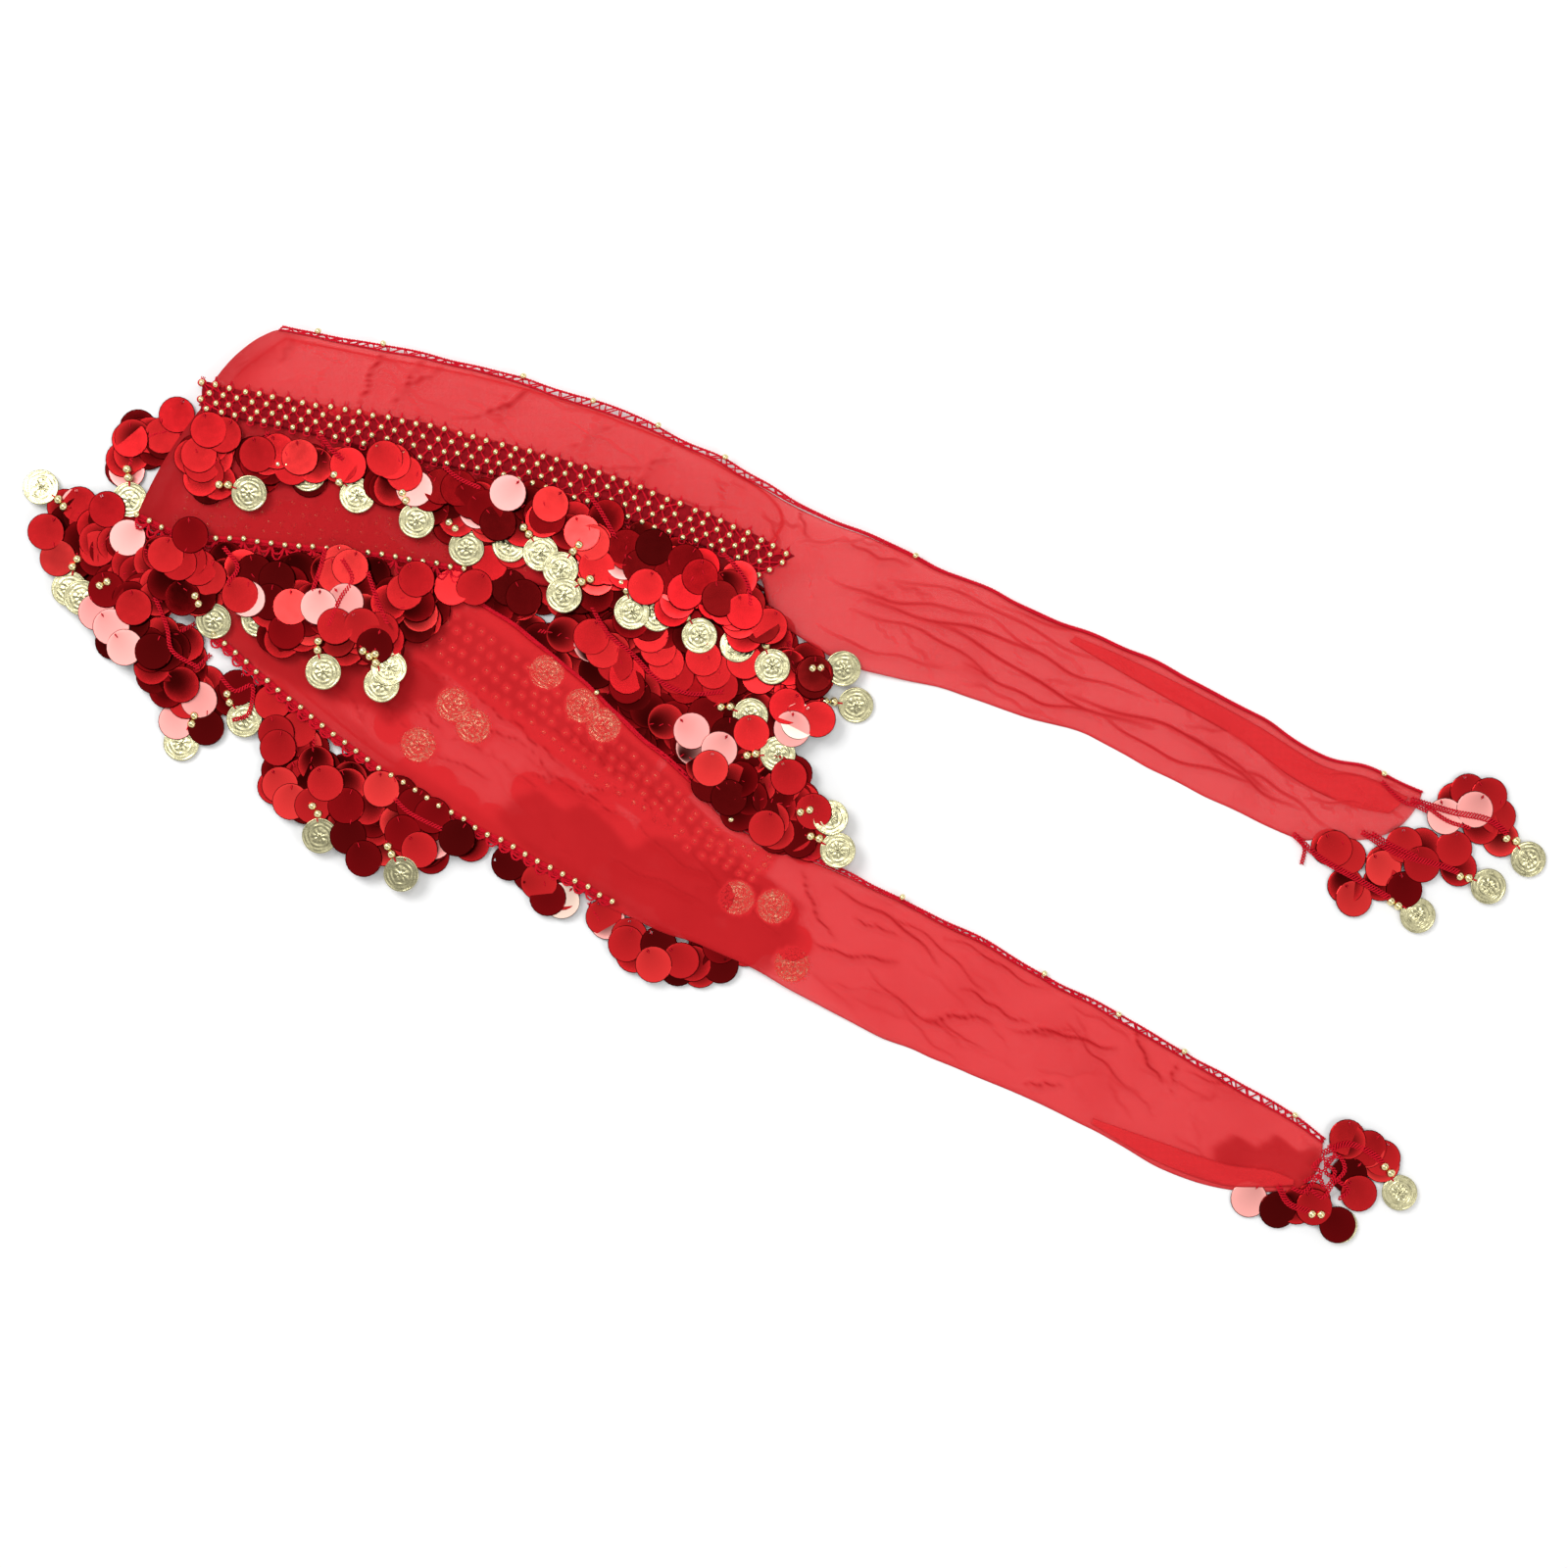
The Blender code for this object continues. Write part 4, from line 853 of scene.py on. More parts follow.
waistTrims = {      # trims of two crossing threads with loops between them, and the beads' photo pixels
    "waist_trim_upper": {
        "cloth": upperCloth, "from": 0.0, "to": 18.0, "beat": 11.0,
        "beads": [(326, 338), (392, 351), (536, 382), (606, 407), (674, 431), (742, 464), (935, 567),
                  (1410, 797)],
    },
    "waist_trim_lower": {
        "cloth": lowerCloth, "from": 2.0, "to": 16.0, "beat": 10.0,
        "beads": [(613, 703), (725, 812), (752, 827), (922, 913), (1068, 989), (1144, 1031), (1210, 1070),
                  (1324, 1135)],
    },
}


def edgeHeight(cloth, places):      # how high a cloth's waist edge lies
    rows = np.array(cloth["rows"], float)
    return clothShell["layers"] * np.interp(places, np.arange(len(rows)), rows[:, 4])


def makeWaistTrim(node, trim):
    rng = random.Random(21 + len(node))
    threads, beads = newBag(), newBag()
    line = tableLine(trim["cloth"], 0.0, trim["from"], trim["to"], 0.85)
    near = tableLine(trim["cloth"], 0.0, trim["from"], trim["to"], 0.85, 2.0)
    places = np.linspace(trim["from"], trim["to"], len(line))
    height = edgeHeight(trim["cloth"], places) + 0.75
    nearPlaces = np.linspace(trim["from"], trim["to"], len(near))
    near = np.stack([np.interp(places, nearPlaces, near[:, column]) for column in (0, 1)], axis=1)
    side = (line - near) / np.linalg.norm(line - near, axis=1, keepdims=True)
    drawn = drawnIn(trim["cloth"], places)
    inner = line - side * (drawn - 0.3)
    walked = walkedAlong(line)
    loose = np.array([0.62 + 0.9 * noise.noise((w * 0.014, 4.0, len(node))) for w in walked])
    wander = np.array([noise.noise((w * 0.05, 9.0, 1.0)) for w in walked])
    reach = drawn[:, 0] * (0.15 + 0.85 * np.clip(loose, 0.05, 1.0)) + wander * 0.3
    hem = np.column_stack([inner, height + 0.25])
    addTwist(threads, hem, twists["hem"])
    outer = np.column_stack([inner + side * reach[:, None], height])
    addTwist(threads, outer, twists["outer"])
    for phase, beat in ((0.0, trim["beat"]), (math.pi, trim["beat"] * 0.8)):
        turn = 2 * math.pi * walked / beat + phase + 1.5 * wander
        wave = reach * (0.5 + 0.5 * np.sin(turn))
        zigzag = np.column_stack([inner + side * wave[:, None], height + 0.3 * np.cos(turn)])
        addTube(threads, zigzag, 0.45, 5)
    for across, down in trim["beads"]:
        spot = np.array(fromPhoto(across, down))
        near = int(np.argmin(np.linalg.norm(line - spot, axis=1)))
        addBead(beads, seedShape, (*(line[near] - side[near] * 0.3), height[near] + 1.4), rng.uniform(0, 3))
    name = "waistTrim" + node.split("_")[-1].capitalize()
    makePiece(f"{name}Threads", threads, [crochetThread], [node])
    makePiece(f"{name}Beads", beads, [beadGold], [node])


makeBand(beadBand)
for node, edge in beadedEdges.items():
    makeBeadedEdge(node, edge)
for node, trim in waistTrims.items():
    makeWaistTrim(node, trim)
print("stage: crocheted edges")


# Fringe: crocheted chains with paillettes, two round beads and a coin
discShape = {
    "size": 20.4, "thick": 0.24, "sides": 24, "holeAt": 8.0, "hole": 0.75, "bevel": 0.45, "rimShade": 0.6,
}
coinShape = {"size": 19.6, "thick": 0.7, "sides": 54, "rimDots": 26, "petals": 8, "relief": 0.4}
roundBeadLook = {
    "size": 4.9, "length": 0.94, "around": 14, "along": 9, "hole": 0.1, "dent": 0.045, "kinds": 4,
}
# What lies on the pile takes up a reach and a thickness, between its least and most height over the base
coinHang = {        # the thread's places, from the middle of the coin, and its lifts
    "hole": 8.6, "beads": (12.2, 16.9), "thread": ((7.4, -0.6), (8.6, -0.2), (11, 0), (15, 0), (20, -0.3)),
    "reach": 9.5, "thick": 1.5, "least": 1.2, "most": 9.0,
}
topDiscs = {"reach": 10.0, "thick": 0.35, "least": 1.2, "most": 10.0}
fillDiscs = {"reach": 9.6, "thick": 0.26, "least": 0.6, "most": 3.4}
fringeLook = {
    "spacing": 5.0, "bare": 7.0, "coinEnd": 22.0, "plainEnd": 6.0, "chainEnd": 18, "step": 0.6,
    "mostPile": 7.5, "sideways": 0.75, "shingle": 0.06, "loose": 0.12, "shadow": 0.95,
    "shades": {"red": 0.57, "bright": 0.05, "deep": 0.35, "pink": 0.03},
    "undersides": 0.45,     # share of further discs low in the fringe, which close its gaps and take the deep tone as painted shade under the others
}

fringeTiers = {     # strands: root, bend, turn and tip, height above the base, coin (2 where discs cover it)
    "upper": {"base": 8.3, "pile": "upper", "groups": [
        [(-311, 199, -321, 182, -313, 167, -294, 159, 0, 1),
         (-284, 193, -285, 184, -277, 175, -262, 170, 3, 2),
         (-254, 188, -253, 177, -245, 167, -235, 158, 0, 2)],
        [(-223, 180, -219, 172, -209, 160, -202, 144, 3, 1),
         (-197, 174, -192, 161, -183, 143, -175, 129, 0, 2),
         (-172, 169, -170, 157, -159, 143, -151, 131, 3, 2)],
        [(-150, 162, -143, 150, -141, 137, -134, 126, 0, 1),
         (-127, 155, -124, 143, -115, 130, -123, 117, 3, 1),
         (-106, 147, -102, 131, -105, 115, -121, 103, 0, 1), (-86, 141, -87, 128, -88, 112, -84, 94, 3, 1)],
        [(-67, 133, -65, 118, -71, 107, -70, 93, 0, 2), (-55, 128, -53, 113, -57, 99, -47, 81, 3, 1),
         (-37, 120, -32, 107, -32, 91, -26, 76, 0, 2), (-26, 112, -22, 98, -14, 82, -7, 64, 3, 1)]]},
    "middle": {"base": 6.8, "pile": "upper", "groups": [
        [(-333, 122, -338, 116, -327, 104, -314, 89, 0, 2), (-304, 119, -303, 112, -298, 101, -289, 90, 0, 2),
         (-279, 117, -279, 107, -275, 91, -272, 79, 3, 0)],
        [(-261, 114, -258, 104, -259, 86, -253, 61, 0, 1), (-240, 112, -242, 100, -237, 80, -217, 63, 3, 1),
         (-222, 110, -224, 100, -225, 80, -221, 54, 0, 1),
         (-206, 107, -210, 100, -207, 89, -201, 79, 3, 0)]]},
    "lower": {"base": 0.3, "pile": "lower", "groups": [
        [(-317, 71, -327, 59, -325, 42, -333, 22, 0, 1)], [(-305, 61, -303, 50, -307, 42, -298, 35, 0, 1)],
        [(-279, 41, -279, 28, -268, 16, -276, -7, 0, 0), (-259, 25, -261, 9, -259, -6, -256, -29, 2.4, 1),
         (-242, 12, -245, -6, -240, -25, -232, -42, 0, 0)],
        [(-225, -1, -223, -15, -219, -31, -211, -50, 2.4, 1),
         (-206, -12, -205, -23, -201, -33, -197, -40, 0, 0),
         (-184, -26, -182, -30, -179, -34, -177, -36, 0, 0)],
        [(-154, -44, -151, -46, -148, -47, -145, -49, 0, 0),
         (-134, -54, -132, -58, -130, -62, -128, -66, 2.4, 0),
         (-108, -66, -106, -70, -104, -73, -102, -76, 0, 0)],
        [(-84, -80, -84, -84, -85, -88, -86, -92, 2.4, 0), (-74, -84, -72, -90, -72, -96, -72, -100, 0, 0),
         (-61, -89, -56, -95, -49, -98, -38, -100, 0, 0)]]},
    "right": {"base": 0.3, "pile": "lower", "groups": [
        [(-136, 84, -125, 82, -115, 77, -107, 70, 2.4, 0), (-114, 66, -91, 75, -75, 69, -64, 55, 0, 0)],
        [(-98, 50, -70, 53, -43, 45, -19, 37, 2.4, 1), (-80, 33, -55, 31, -33, 30, -18, 22, 0, 0),
         (-63, 17, -44, 12, -24, 14, -4, 16, 2.4, 1)],
        [(-44, 0, -28, 0, -11, 3, 4, 2, 0, 0), (-34, -9, -11, -9, 6, -14, 25, -19, 2.4, 1),
         (-22, -22, -4, -21, 10, -28, 29, -37, 0, 1)],
        [(2, 78, 6, 62, 17, 47, 39, 43, 2.4, 1), (14, 74, 19, 64, 24, 61, 32, 63, 0, 2)]]},
    "left": {"base": 0.3, "pile": "lower", "groups": [
        [(-331, 192, -341, 194, -359, 185, -361, 156, 0, 1)],
        [(-356, 140, -374, 139, -391, 150, -410, 163, 2.4, 1)],
        [(-340, 126, -362, 132, -387, 127, -394, 107, 0, 1),
         (-337, 114, -354, 117, -371, 112, -387, 102, 2.4, 1),
         (-331, 101, -350, 100, -365, 87, -362, 75, 0, 0),
         (-325, 88, -338, 80, -346, 69, -333, 53, 2.4, 0)]]},
    "tassel_upper": {
        "base": 0.3, "pile": "lower", "bare": 20.0, "spacing": 15.0, "undersides": 0.0, "chainRise": 2.6,
        "chain": "tassel", "shades": {"red": 0.8, "bright": 0.2}, "groups": [
        [(280, -28, 296, -42, 319, -55, 349, -73, 0, 1)], [(318, -27, 338, -39, 363, -46, 388, -57, 0, 1)],
        [(345, -9, 368, -16, 391, -22, 410, -42, 0, 1)]]},
    "tassel_lower": {
        "base": 0.3, "pile": "lower", "bare": 8.0, "spacing": 11.0, "undersides": 0.3, "chainRise": 2.0,
        "chain": "tassel", "shades": {"red": 0.8, "bright": 0.2}, "groups": [
        [(296, -204, 311, -199, 328, -208, 339, -226, 0, 1)],
        [(272, -222, 278, -232, 292, -237, 306, -244, 0, 1)]]},
}

placedDiscs = {     # discs that lie on top, in photo pixels, lowest first, by tier and tone; the deep, bright and palest tones are painted reflections
    "left": [
        ("pink", [(100, 625), (115, 640), (129, 661)]), ("deep", [(158, 665), (110, 602)]),
        ("bright", [(60, 570)]),
        ("red", [(138, 620), (100, 560), (81, 515), (48, 543), (110, 520), (165, 444), (132, 448),
                 (180, 423)]),
        ("pink", [(131, 549)])],
    "upper": [
        ("red", [(212, 485), (208, 475), (205, 465), (230, 445), (215, 440), (300, 478), (285, 462),
                 (265, 465)]),
        ("bright", [(308, 468)]),
        ("deep", [(440, 505), (452, 498), (470, 500), (482, 512), (497, 520), (510, 535)]),
        ("pink", [(425, 500), (520, 505)]), ("red", [(415, 485), (403, 473), (395, 470), (357, 476)]),
        ("deep", [(560, 530), (640, 560), (655, 580), (685, 590), (700, 575), (722, 600), (668, 560)]),
        ("red", [(610, 580), (660, 600), (700, 605)]), ("bright", [(605, 555), (595, 545), (563, 516)]),
        ("deep", [(715, 590), (735, 612)]), ("red", [(785, 640), (760, 625)])],
    "middle": [
        ("deep", [(270, 600), (262, 585), (285, 592), (278, 615)]), ("pink", [(255, 612)]),
        ("red", [(215, 590), (205, 580), (195, 572), (185, 575), (172, 567), (248, 608)]),
        ("deep", [(197, 547)]), ("deep", [(295, 645), (385, 660)]),
        ("bright", [(350, 575), (345, 588), (360, 580), (300, 620)]), ("pink", [(355, 615), (328, 620)]),
        ("red", [(345, 640), (372, 640), (391, 644), (415, 605), (427, 592)]),
        ("deep", [(520, 600), (535, 610)]), ("red", [(500, 575), (525, 562), (462, 600), (485, 600)])],
    "lower": [
        ("deep", [(408, 810), (424, 822), (442, 832)]), ("pink", [(180, 736)]),
        ("deep", [(210, 742), (242, 702)]), ("red", [(190, 715)]), ("pink", [(203, 714)]),
        ("red", [(278, 717), (304, 744), (282, 748), (284, 763), (307, 793)]),
        ("bright", [(286, 801), (297, 818)]), ("deep", [(356, 853), (354, 822), (372, 876), (412, 850)]),
        ("red", [(320, 822), (333, 799)]), ("bright", [(390, 805)]),
        ("deep", [(467, 855), (524, 875), (542, 892)]), ("red", [(429, 867)]), ("creamHighlight", [(573, 919)]),
        ("deep", [(559, 916)]), ("red", [(616, 936), (642, 955), (639, 963)]),
        ("deep", [(672, 964), (735, 985)]), ("red", [(695, 980)]), ("bright", [(667, 984)])],
    "right": [
        ("deep", [(724, 800), (744, 814), (830, 695), (700, 700), (640, 700), (720, 730)]),
        ("red", [(640, 690), (628, 678), (616, 664), (604, 650), (690, 690), (680, 676), (672, 662),
                 (664, 648), (735, 700), (728, 685), (718, 672), (775, 690), (760, 675)]),
        ("pink", [(706, 746)]), ("deep", [(744, 750)]), ("pink", [(734, 765)]), ("bright", [(725, 784)]),
        ("red", [(767, 748)]), ("pink", [(808, 744)]), ("creamHighlight", [(815, 736)]),
        ("red", [(834, 734), (803, 721)]), ("deep", [(815, 857), (786, 816)]),
        ("red", [(782, 845), (830, 828), (805, 793)])],
    "tassel_upper": [
        ("red", [(1376, 874), (1362, 866)]), ("bright", [(1382, 917), (1412, 886)]), ("red", [(1433, 862)]),
        ("deep", [(1433, 908)]),
        ("red", [(1451, 882), (1484, 866)]), ("pink", [(1475, 833)]),
        ("red", [(1529, 833), (1499, 808), (1520, 812)]), ("pink", [(1505, 826)])],
    "tassel_lower": [
        ("pink", [(1275, 1224)]), ("deep", [(1304, 1235), (1365, 1250)]), ("red", [(1341, 1232)]),
        ("deep", [(1377, 1199)]), ("red", [(1387, 1218), (1411, 1182), (1397, 1172), (1375, 1161)])],
}


def makeDisc(shape):
    turns = 2 * math.pi * np.arange(shape["sides"]) / shape["sides"]
    circle = np.column_stack([np.cos(turns), np.sin(turns)])
    verts = []
    for face, cutBack in ((0.5, shape["bevel"]), (-0.5, 0.0)):
        for reach, middle in ((shape["hole"], shape["holeAt"]), (shape["size"] / 2 - cutBack, 0.0)):
            ring = circle * reach + np.array([middle, 0.0])
            verts.append(np.column_stack([ring, np.full(len(turns), face * shape["thick"])]))
    return np.vstack(verts), ringFaces(len(turns), [(0, 1), (1, 3), (3, 2), (2, 0)])


def makeCoin(shape):           # pressed relief: a dotted rim, a ring and a plain rosette
    turns = 2 * math.pi * np.arange(shape["sides"]) / shape["sides"]
    radius = shape["size"] / 2
    steps = [0.03, 0.1, 0.16, 0.24, 0.32, 0.4, 0.47, 0.52, 0.58, 0.63, 0.68, 0.74, 0.8, 0.86, 0.92, 0.96, 1.0]
    verts = []
    for step in steps:
        petal = np.abs(np.cos(turns * shape["petals"] / 2)) ** 0.7
        height = np.where(step < 0.12, 0.9, 0.0)
        height = height + 0.8 * np.clip(1 - np.abs(step - 0.3) / (0.06 + 0.16 * petal), 0, 1) * petal
        height = height + 0.7 * math.exp(-((step - 0.6) / 0.03) ** 2)
        dots = (0.5 + 0.5 * np.cos(turns * shape["rimDots"])) ** 2
        height = height + 0.8 * math.exp(-((step - 0.8) / 0.05) ** 2) * dots
        height = height + 0.5 * math.exp(-((step - 0.95) / 0.03) ** 2)
        height = height + 0.22 * np.sin(turns * 5 + step * 9) * np.sin(step * 17 + 1.0)
        level = shape["thick"] / 2 + shape["relief"] * height * (0.0 if step == 1.0 else 1.0)
        verts.append(np.column_stack([np.cos(turns) * radius * step, np.sin(turns) * radius * step,
                                      np.broadcast_to(level, turns.shape)]))
    for step in (1.0, 0.9, 0.1):
        verts.append(np.column_stack([np.cos(turns) * radius * step, np.sin(turns) * radius * step,
                                      np.full(turns.shape, -shape["thick"] / 2)]))
    sides, last = len(turns), len(steps) + 2
    faces = ringFaces(sides, [(ring, ring + 1) for ring in range(last)])
    faces += [tuple(reversed(range(sides))), tuple(range(last * sides, (last + 1) * sides))]
    return np.vstack(verts), [tuple(reversed(face)) for face in faces]


pileMap = {"cell": 2, "middle": (430, 270), "cells": (430, 270)}
heights = {         # what has piled up, on cells of the pile map
    "lower": np.full(pileMap["cells"], 0.3), "upper": np.full(pileMap["cells"], 7.9),
}


def pileCells(x, y, reach):
    cell, (left, low) = pileMap["cell"], pileMap["middle"]
    column, row, span = (x + left) / cell, (y + low) / cell, reach / cell
    a, b = np.mgrid[max(0, int(column - span)):int(column + span) + 2,
                    max(0, int(row - span)):int(row + span) + 2]
    inside = (a - column) ** 2 + (b - row) ** 2 <= span ** 2
    return a[inside], b[inside]


def dropOn(tier, x, y, thing):          # height at which a disc or coin comes to rest on the pile
    pile, base = heights[tier["pile"]], tier["base"]
    under = float(pile[pileCells(x, y, thing["reach"] * 0.97)].max()) + 0.08
    level = min(max(under, base + thing["least"]), base + thing["most"])
    cells = pileCells(x, y, thing["reach"])
    pile[cells] = np.maximum(pile[cells], level + thing["thick"])
    return level


discTemplate, coinTemplate = makeDisc(discShape), makeCoin(coinShape)
beadTemplates = [roundBead(roundBeadLook["size"] * roundBeadLook["length"], roundBeadLook["size"],
                           roundBeadLook["around"], roundBeadLook["along"], roundBeadLook["hole"],
                           roundBeadLook["dent"], seed) for seed in range(roundBeadLook["kinds"])]
chance = random.Random(77)


def alongDisc(spot, heading, way):      # from a disc's hole to its middle, or back where the way is -1
    reach = way * discShape["holeAt"]
    return spot[0] + reach * math.cos(heading), spot[1] + reach * math.sin(heading)


def addDisc(bags, hole, heading, level, shade, tilt, tiltWay=None, shadow=0.1):     # painted shadow at its hole, painted dark rim at its edge
    turn = turnMatrix(heading + math.pi, tilt, chance.uniform(0, 2 * math.pi) if tiltWay is None else tiltWay)
    laid = discTemplate[0] @ turn.T + np.array([*alongDisc(hole, heading, 1), level])
    # painted shade: darker towards the hole, where the next disc lies over it, and a dark bevelled rim
    fold = np.repeat([shadow, 0.0, shadow, discShape["rimShade"]], discShape["sides"])
    addShape(bags["discs"], laid, discTemplate[1], foilNames.index(shade), fold)


def addThreadLoop(bags, spot, heading, level, reach=1.5):
    turns = np.linspace(0, 2 * math.pi, 9)[:-1]
    way = np.array([math.cos(heading), math.sin(heading)])
    ring = [(*(np.array(spot) + way * reach * math.cos(t)), level + 0.8 * math.sin(t)) for t in turns]
    addTube(bags["threads"], ring, 0.28, 4, 0, True)


def addStrand(bags, strand, tier):       # its discs lie like tiles, each on the one before it
    step = fringeLook["step"]
    level = tier["base"] + strand[8] * 0.8 + 1.2
    pile, slope = heights[tier["pile"]], fringeLook["shingle"]
    line = resample([(*strand[at:at + 2], level) for at in (0, 2, 4, 6)], step)
    total = step * (len(line) - 1)
    end = total - (fringeLook["coinEnd"] if strand[9] else fringeLook["plainEnd"])
    if strand[9] == 2:
        addCoinEnd(bags, line, tier)
    chain = line[:max(6, int((total - (fringeLook["chainEnd"] if strand[9] else 0)) / step))].copy()
    chain[:, 2] += tier.get("chainRise", 0.0)
    addTwist(bags["threads"], chain, twists[tier.get("chain", "chain")])
    bare, spacing, undersides = [tier.get(key, fringeLook[key]) for key in ("bare", "spacing", "undersides")]
    discs = []
    for walked in np.arange(bare, max(end, 8.0), spacing):
        index = min(int(walked / step), len(line) - 2)
        way = line[index + 1] - line[max(index - 1, 0)]
        heading = math.atan2(way[1], way[0])
        for low in ([False, True] if chance.random() < undersides else [False]):
            lean = chance.choice((-1, 1)) * abs(chance.gauss(1.0 if low else 0.35, fringeLook["sideways"]))
            x, y = alongDisc(line[index], heading + lean, 1)
            rest = float(pile[pileCells(x, y, 8.0)].max())
            discs.append([index, heading, lean, low, x, y, rest])
    rests = np.array([max(disc[6], level - 0.6) for disc in discs])
    smooth = [max(rests[max(0, n - 1):n + 2]) for n in range(len(rests))]
    smooth = [float(np.mean(smooth[max(0, n - 2):n + 3])) for n in range(len(rests))]
    for (index, heading, lean, low, x, y, _), rest in zip(reversed(discs), reversed(smooth)):
        rest = min(rest, tier["base"] + fringeLook["mostPile"])
        height = rest + 0.5 + slope * discShape["holeAt"] * math.cos(lean) - (0.14 if low else 0)
        # discs lying low take the deep tone: painted shade under the fringe
        shade = "deep" if low else chance.choices(*zip(*tier.get("shades", fringeLook["shades"]).items()))[0]
        loose = chance.random() < fringeLook["loose"]
        tilt = slope + chance.uniform(0, 0.1) * loose
        tiltWay = heading - math.pi / 2 + chance.gauss(0, 0.9) * loose
        shadow = fringeLook["shadow"] * chance.uniform(0.7, 1.0)
        addDisc(bags, line[index], heading + lean, height + 0.5 * loose, shade, tilt, tiltWay, shadow)
        if not low:
            addThreadLoop(bags, line[index][:2], heading + lean, rest + 0.8)
        cells = pileCells(x, y, 9.5)
        pile[cells] = np.maximum(pile[cells], rest + 1.15)
    return line


def addCoinEnd(bags, line, tier):
    tip, before = line[-1], line[-int(16 / fringeLook["step"])]
    back = math.atan2(before[1] - tip[1], before[0] - tip[0])
    height = dropOn(tier, tip[0], tip[1], coinHang)
    turn = turnMatrix(chance.uniform(0, fullTurn), abs(chance.gauss(0, 0.06)), chance.uniform(0, fullTurn))
    laid = coinTemplate[0] @ turn.T + np.array([tip[0], tip[1], height + 0.4])
    addShape(bags["coins"], laid, coinTemplate[1])
    rise = height + 1.7
    for place in coinHang["beads"]:
        lean = back + chance.uniform(-0.12, 0.12)
        spot = (tip[0] + place * math.cos(lean), tip[1] + place * math.sin(lean), rise)
        addBead(bags["beads"], chance.choice(beadTemplates), spot, lean)
    thread = [(tip[0] + place * math.cos(back), tip[1] + place * math.sin(back), rise + lift)
              for place, lift in coinHang["thread"]]
    addTube(bags["threads"], resample(thread, 1.0), 0.5, 5)
    hole = (tip[0] + coinHang["hole"] * math.cos(back), tip[1] + coinHang["hole"] * math.sin(back))
    addThreadLoop(bags, hole, back, height + 0.7, 1.4)


fringeFills = {     # areas that the fringe fills with discs, as corners in photo pixels, and how many; the fill discs are mostly deep, painted shade in the fringe's gaps
    "right": (165, [(430, 585), (500, 560), (600, 560), (700, 570), (765, 600), (830, 690), (800, 750),
                    (745, 800), (690, 800), (640, 760), (560, 700), (490, 645)]),
    "upper": (60, [(205, 440), (330, 465), (440, 482), (560, 515), (700, 560), (765, 600), (770, 665),
                   (640, 640), (560, 590), (470, 545), (400, 510), (300, 490), (210, 480)]),
    "middle": (45, [(160, 560), (230, 565), (420, 585), (480, 590), (500, 610), (410, 640), (380, 665),
                    (300, 640), (200, 605)]),
    "left": (18, [(60, 530), (140, 560), (180, 600), (150, 655), (95, 610)]),
    "lower": (34, [(275, 705), (330, 745), (400, 805), (470, 850), (440, 878), (380, 865), (330, 842),
                   (288, 800)]),
}
looseChains = {     # chains that lie on top of the discs, in photo pixels
    "tassel_upper": [[(1410, 797), (1420, 808), (1432, 818), (1444, 822), (1456, 828)],
                     [(1326, 856), (1332, 866), (1329, 882)],
                     [(1448, 818), (1460, 826), (1478, 838), (1500, 845)],
                     [(1400, 850), (1420, 862), (1446, 874)]],
    "tassel_lower": [[(1330, 1206), (1345, 1200), (1352, 1212), (1362, 1196), (1352, 1186), (1366, 1180),
                      (1372, 1194), (1360, 1208), (1350, 1222), (1338, 1214)],
                     [(1356, 1168), (1362, 1178), (1352, 1194), (1364, 1204), (1376, 1214), (1366, 1224)],
                     [(1318, 1212), (1330, 1216), (1340, 1206), (1348, 1196), (1340, 1190), (1352, 1180)]],
    "middle": [[(352, 572), (362, 592), (350, 612), (338, 640)], [(378, 585), (386, 610), (398, 638)],
               [(335, 560), (330, 580), (322, 604)], [(232, 560), (246, 580), (236, 596)]],
    "left": [[(160, 610), (172, 640), (178, 665), (205, 682)], [(150, 560), (160, 590), (165, 615)]],
    "lower": [[(225, 690), (240, 705), (258, 700), (254, 728), (238, 735)],
              [(404, 815), (420, 830), (452, 846)]],
    "right": [[(604, 620), (622, 648), (646, 668), (672, 694), (704, 708), (738, 706)],
              [(640, 590), (642, 620), (640, 650)]],
    "upper": [[(738, 566), (752, 580), (764, 600), (766, 620)], [(596, 500), (612, 520), (628, 548)],
              [(455, 478), (470, 490), (492, 500)], [(325, 440), (342, 462), (352, 470)]],
}


def fillFringe(name, tier, bags):
    count, corners = fringeFills.get(name, (0, []))
    groups = tier["groups"]
    while count:
        across = chance.uniform(min(c[0] for c in corners), max(c[0] for c in corners))
        down = chance.uniform(min(c[1] for c in corners), max(c[1] for c in corners))
        if not insideCorners(across, down, corners):
            continue
        count -= 1
        x, y = fromPhoto(across, down)
        level = dropOn(tier, x, y, fillDiscs)
        heading = chance.gauss(-1.2, 0.5)
        hole = alongDisc((x, y), heading, -1)
        # mostly deep: painted shade in the gaps between strands, with a strong painted shadow at the hole
        shade = chance.choices(("deep", "red"), (0.75, 0.25))[0]
        held = bags[nearestGroup(groups, x, y)]
        addDisc(held, hole, heading, level, shade, abs(chance.gauss(0, 0.015)), None, 0.8)


def nearestGroup(groups, x, y):
    return min(range(len(groups)), key=lambda g: min(
        math.hypot(s[c] - x, s[c + 1] - y) for s in groups[g] for c in (0, 2, 4, 6)))


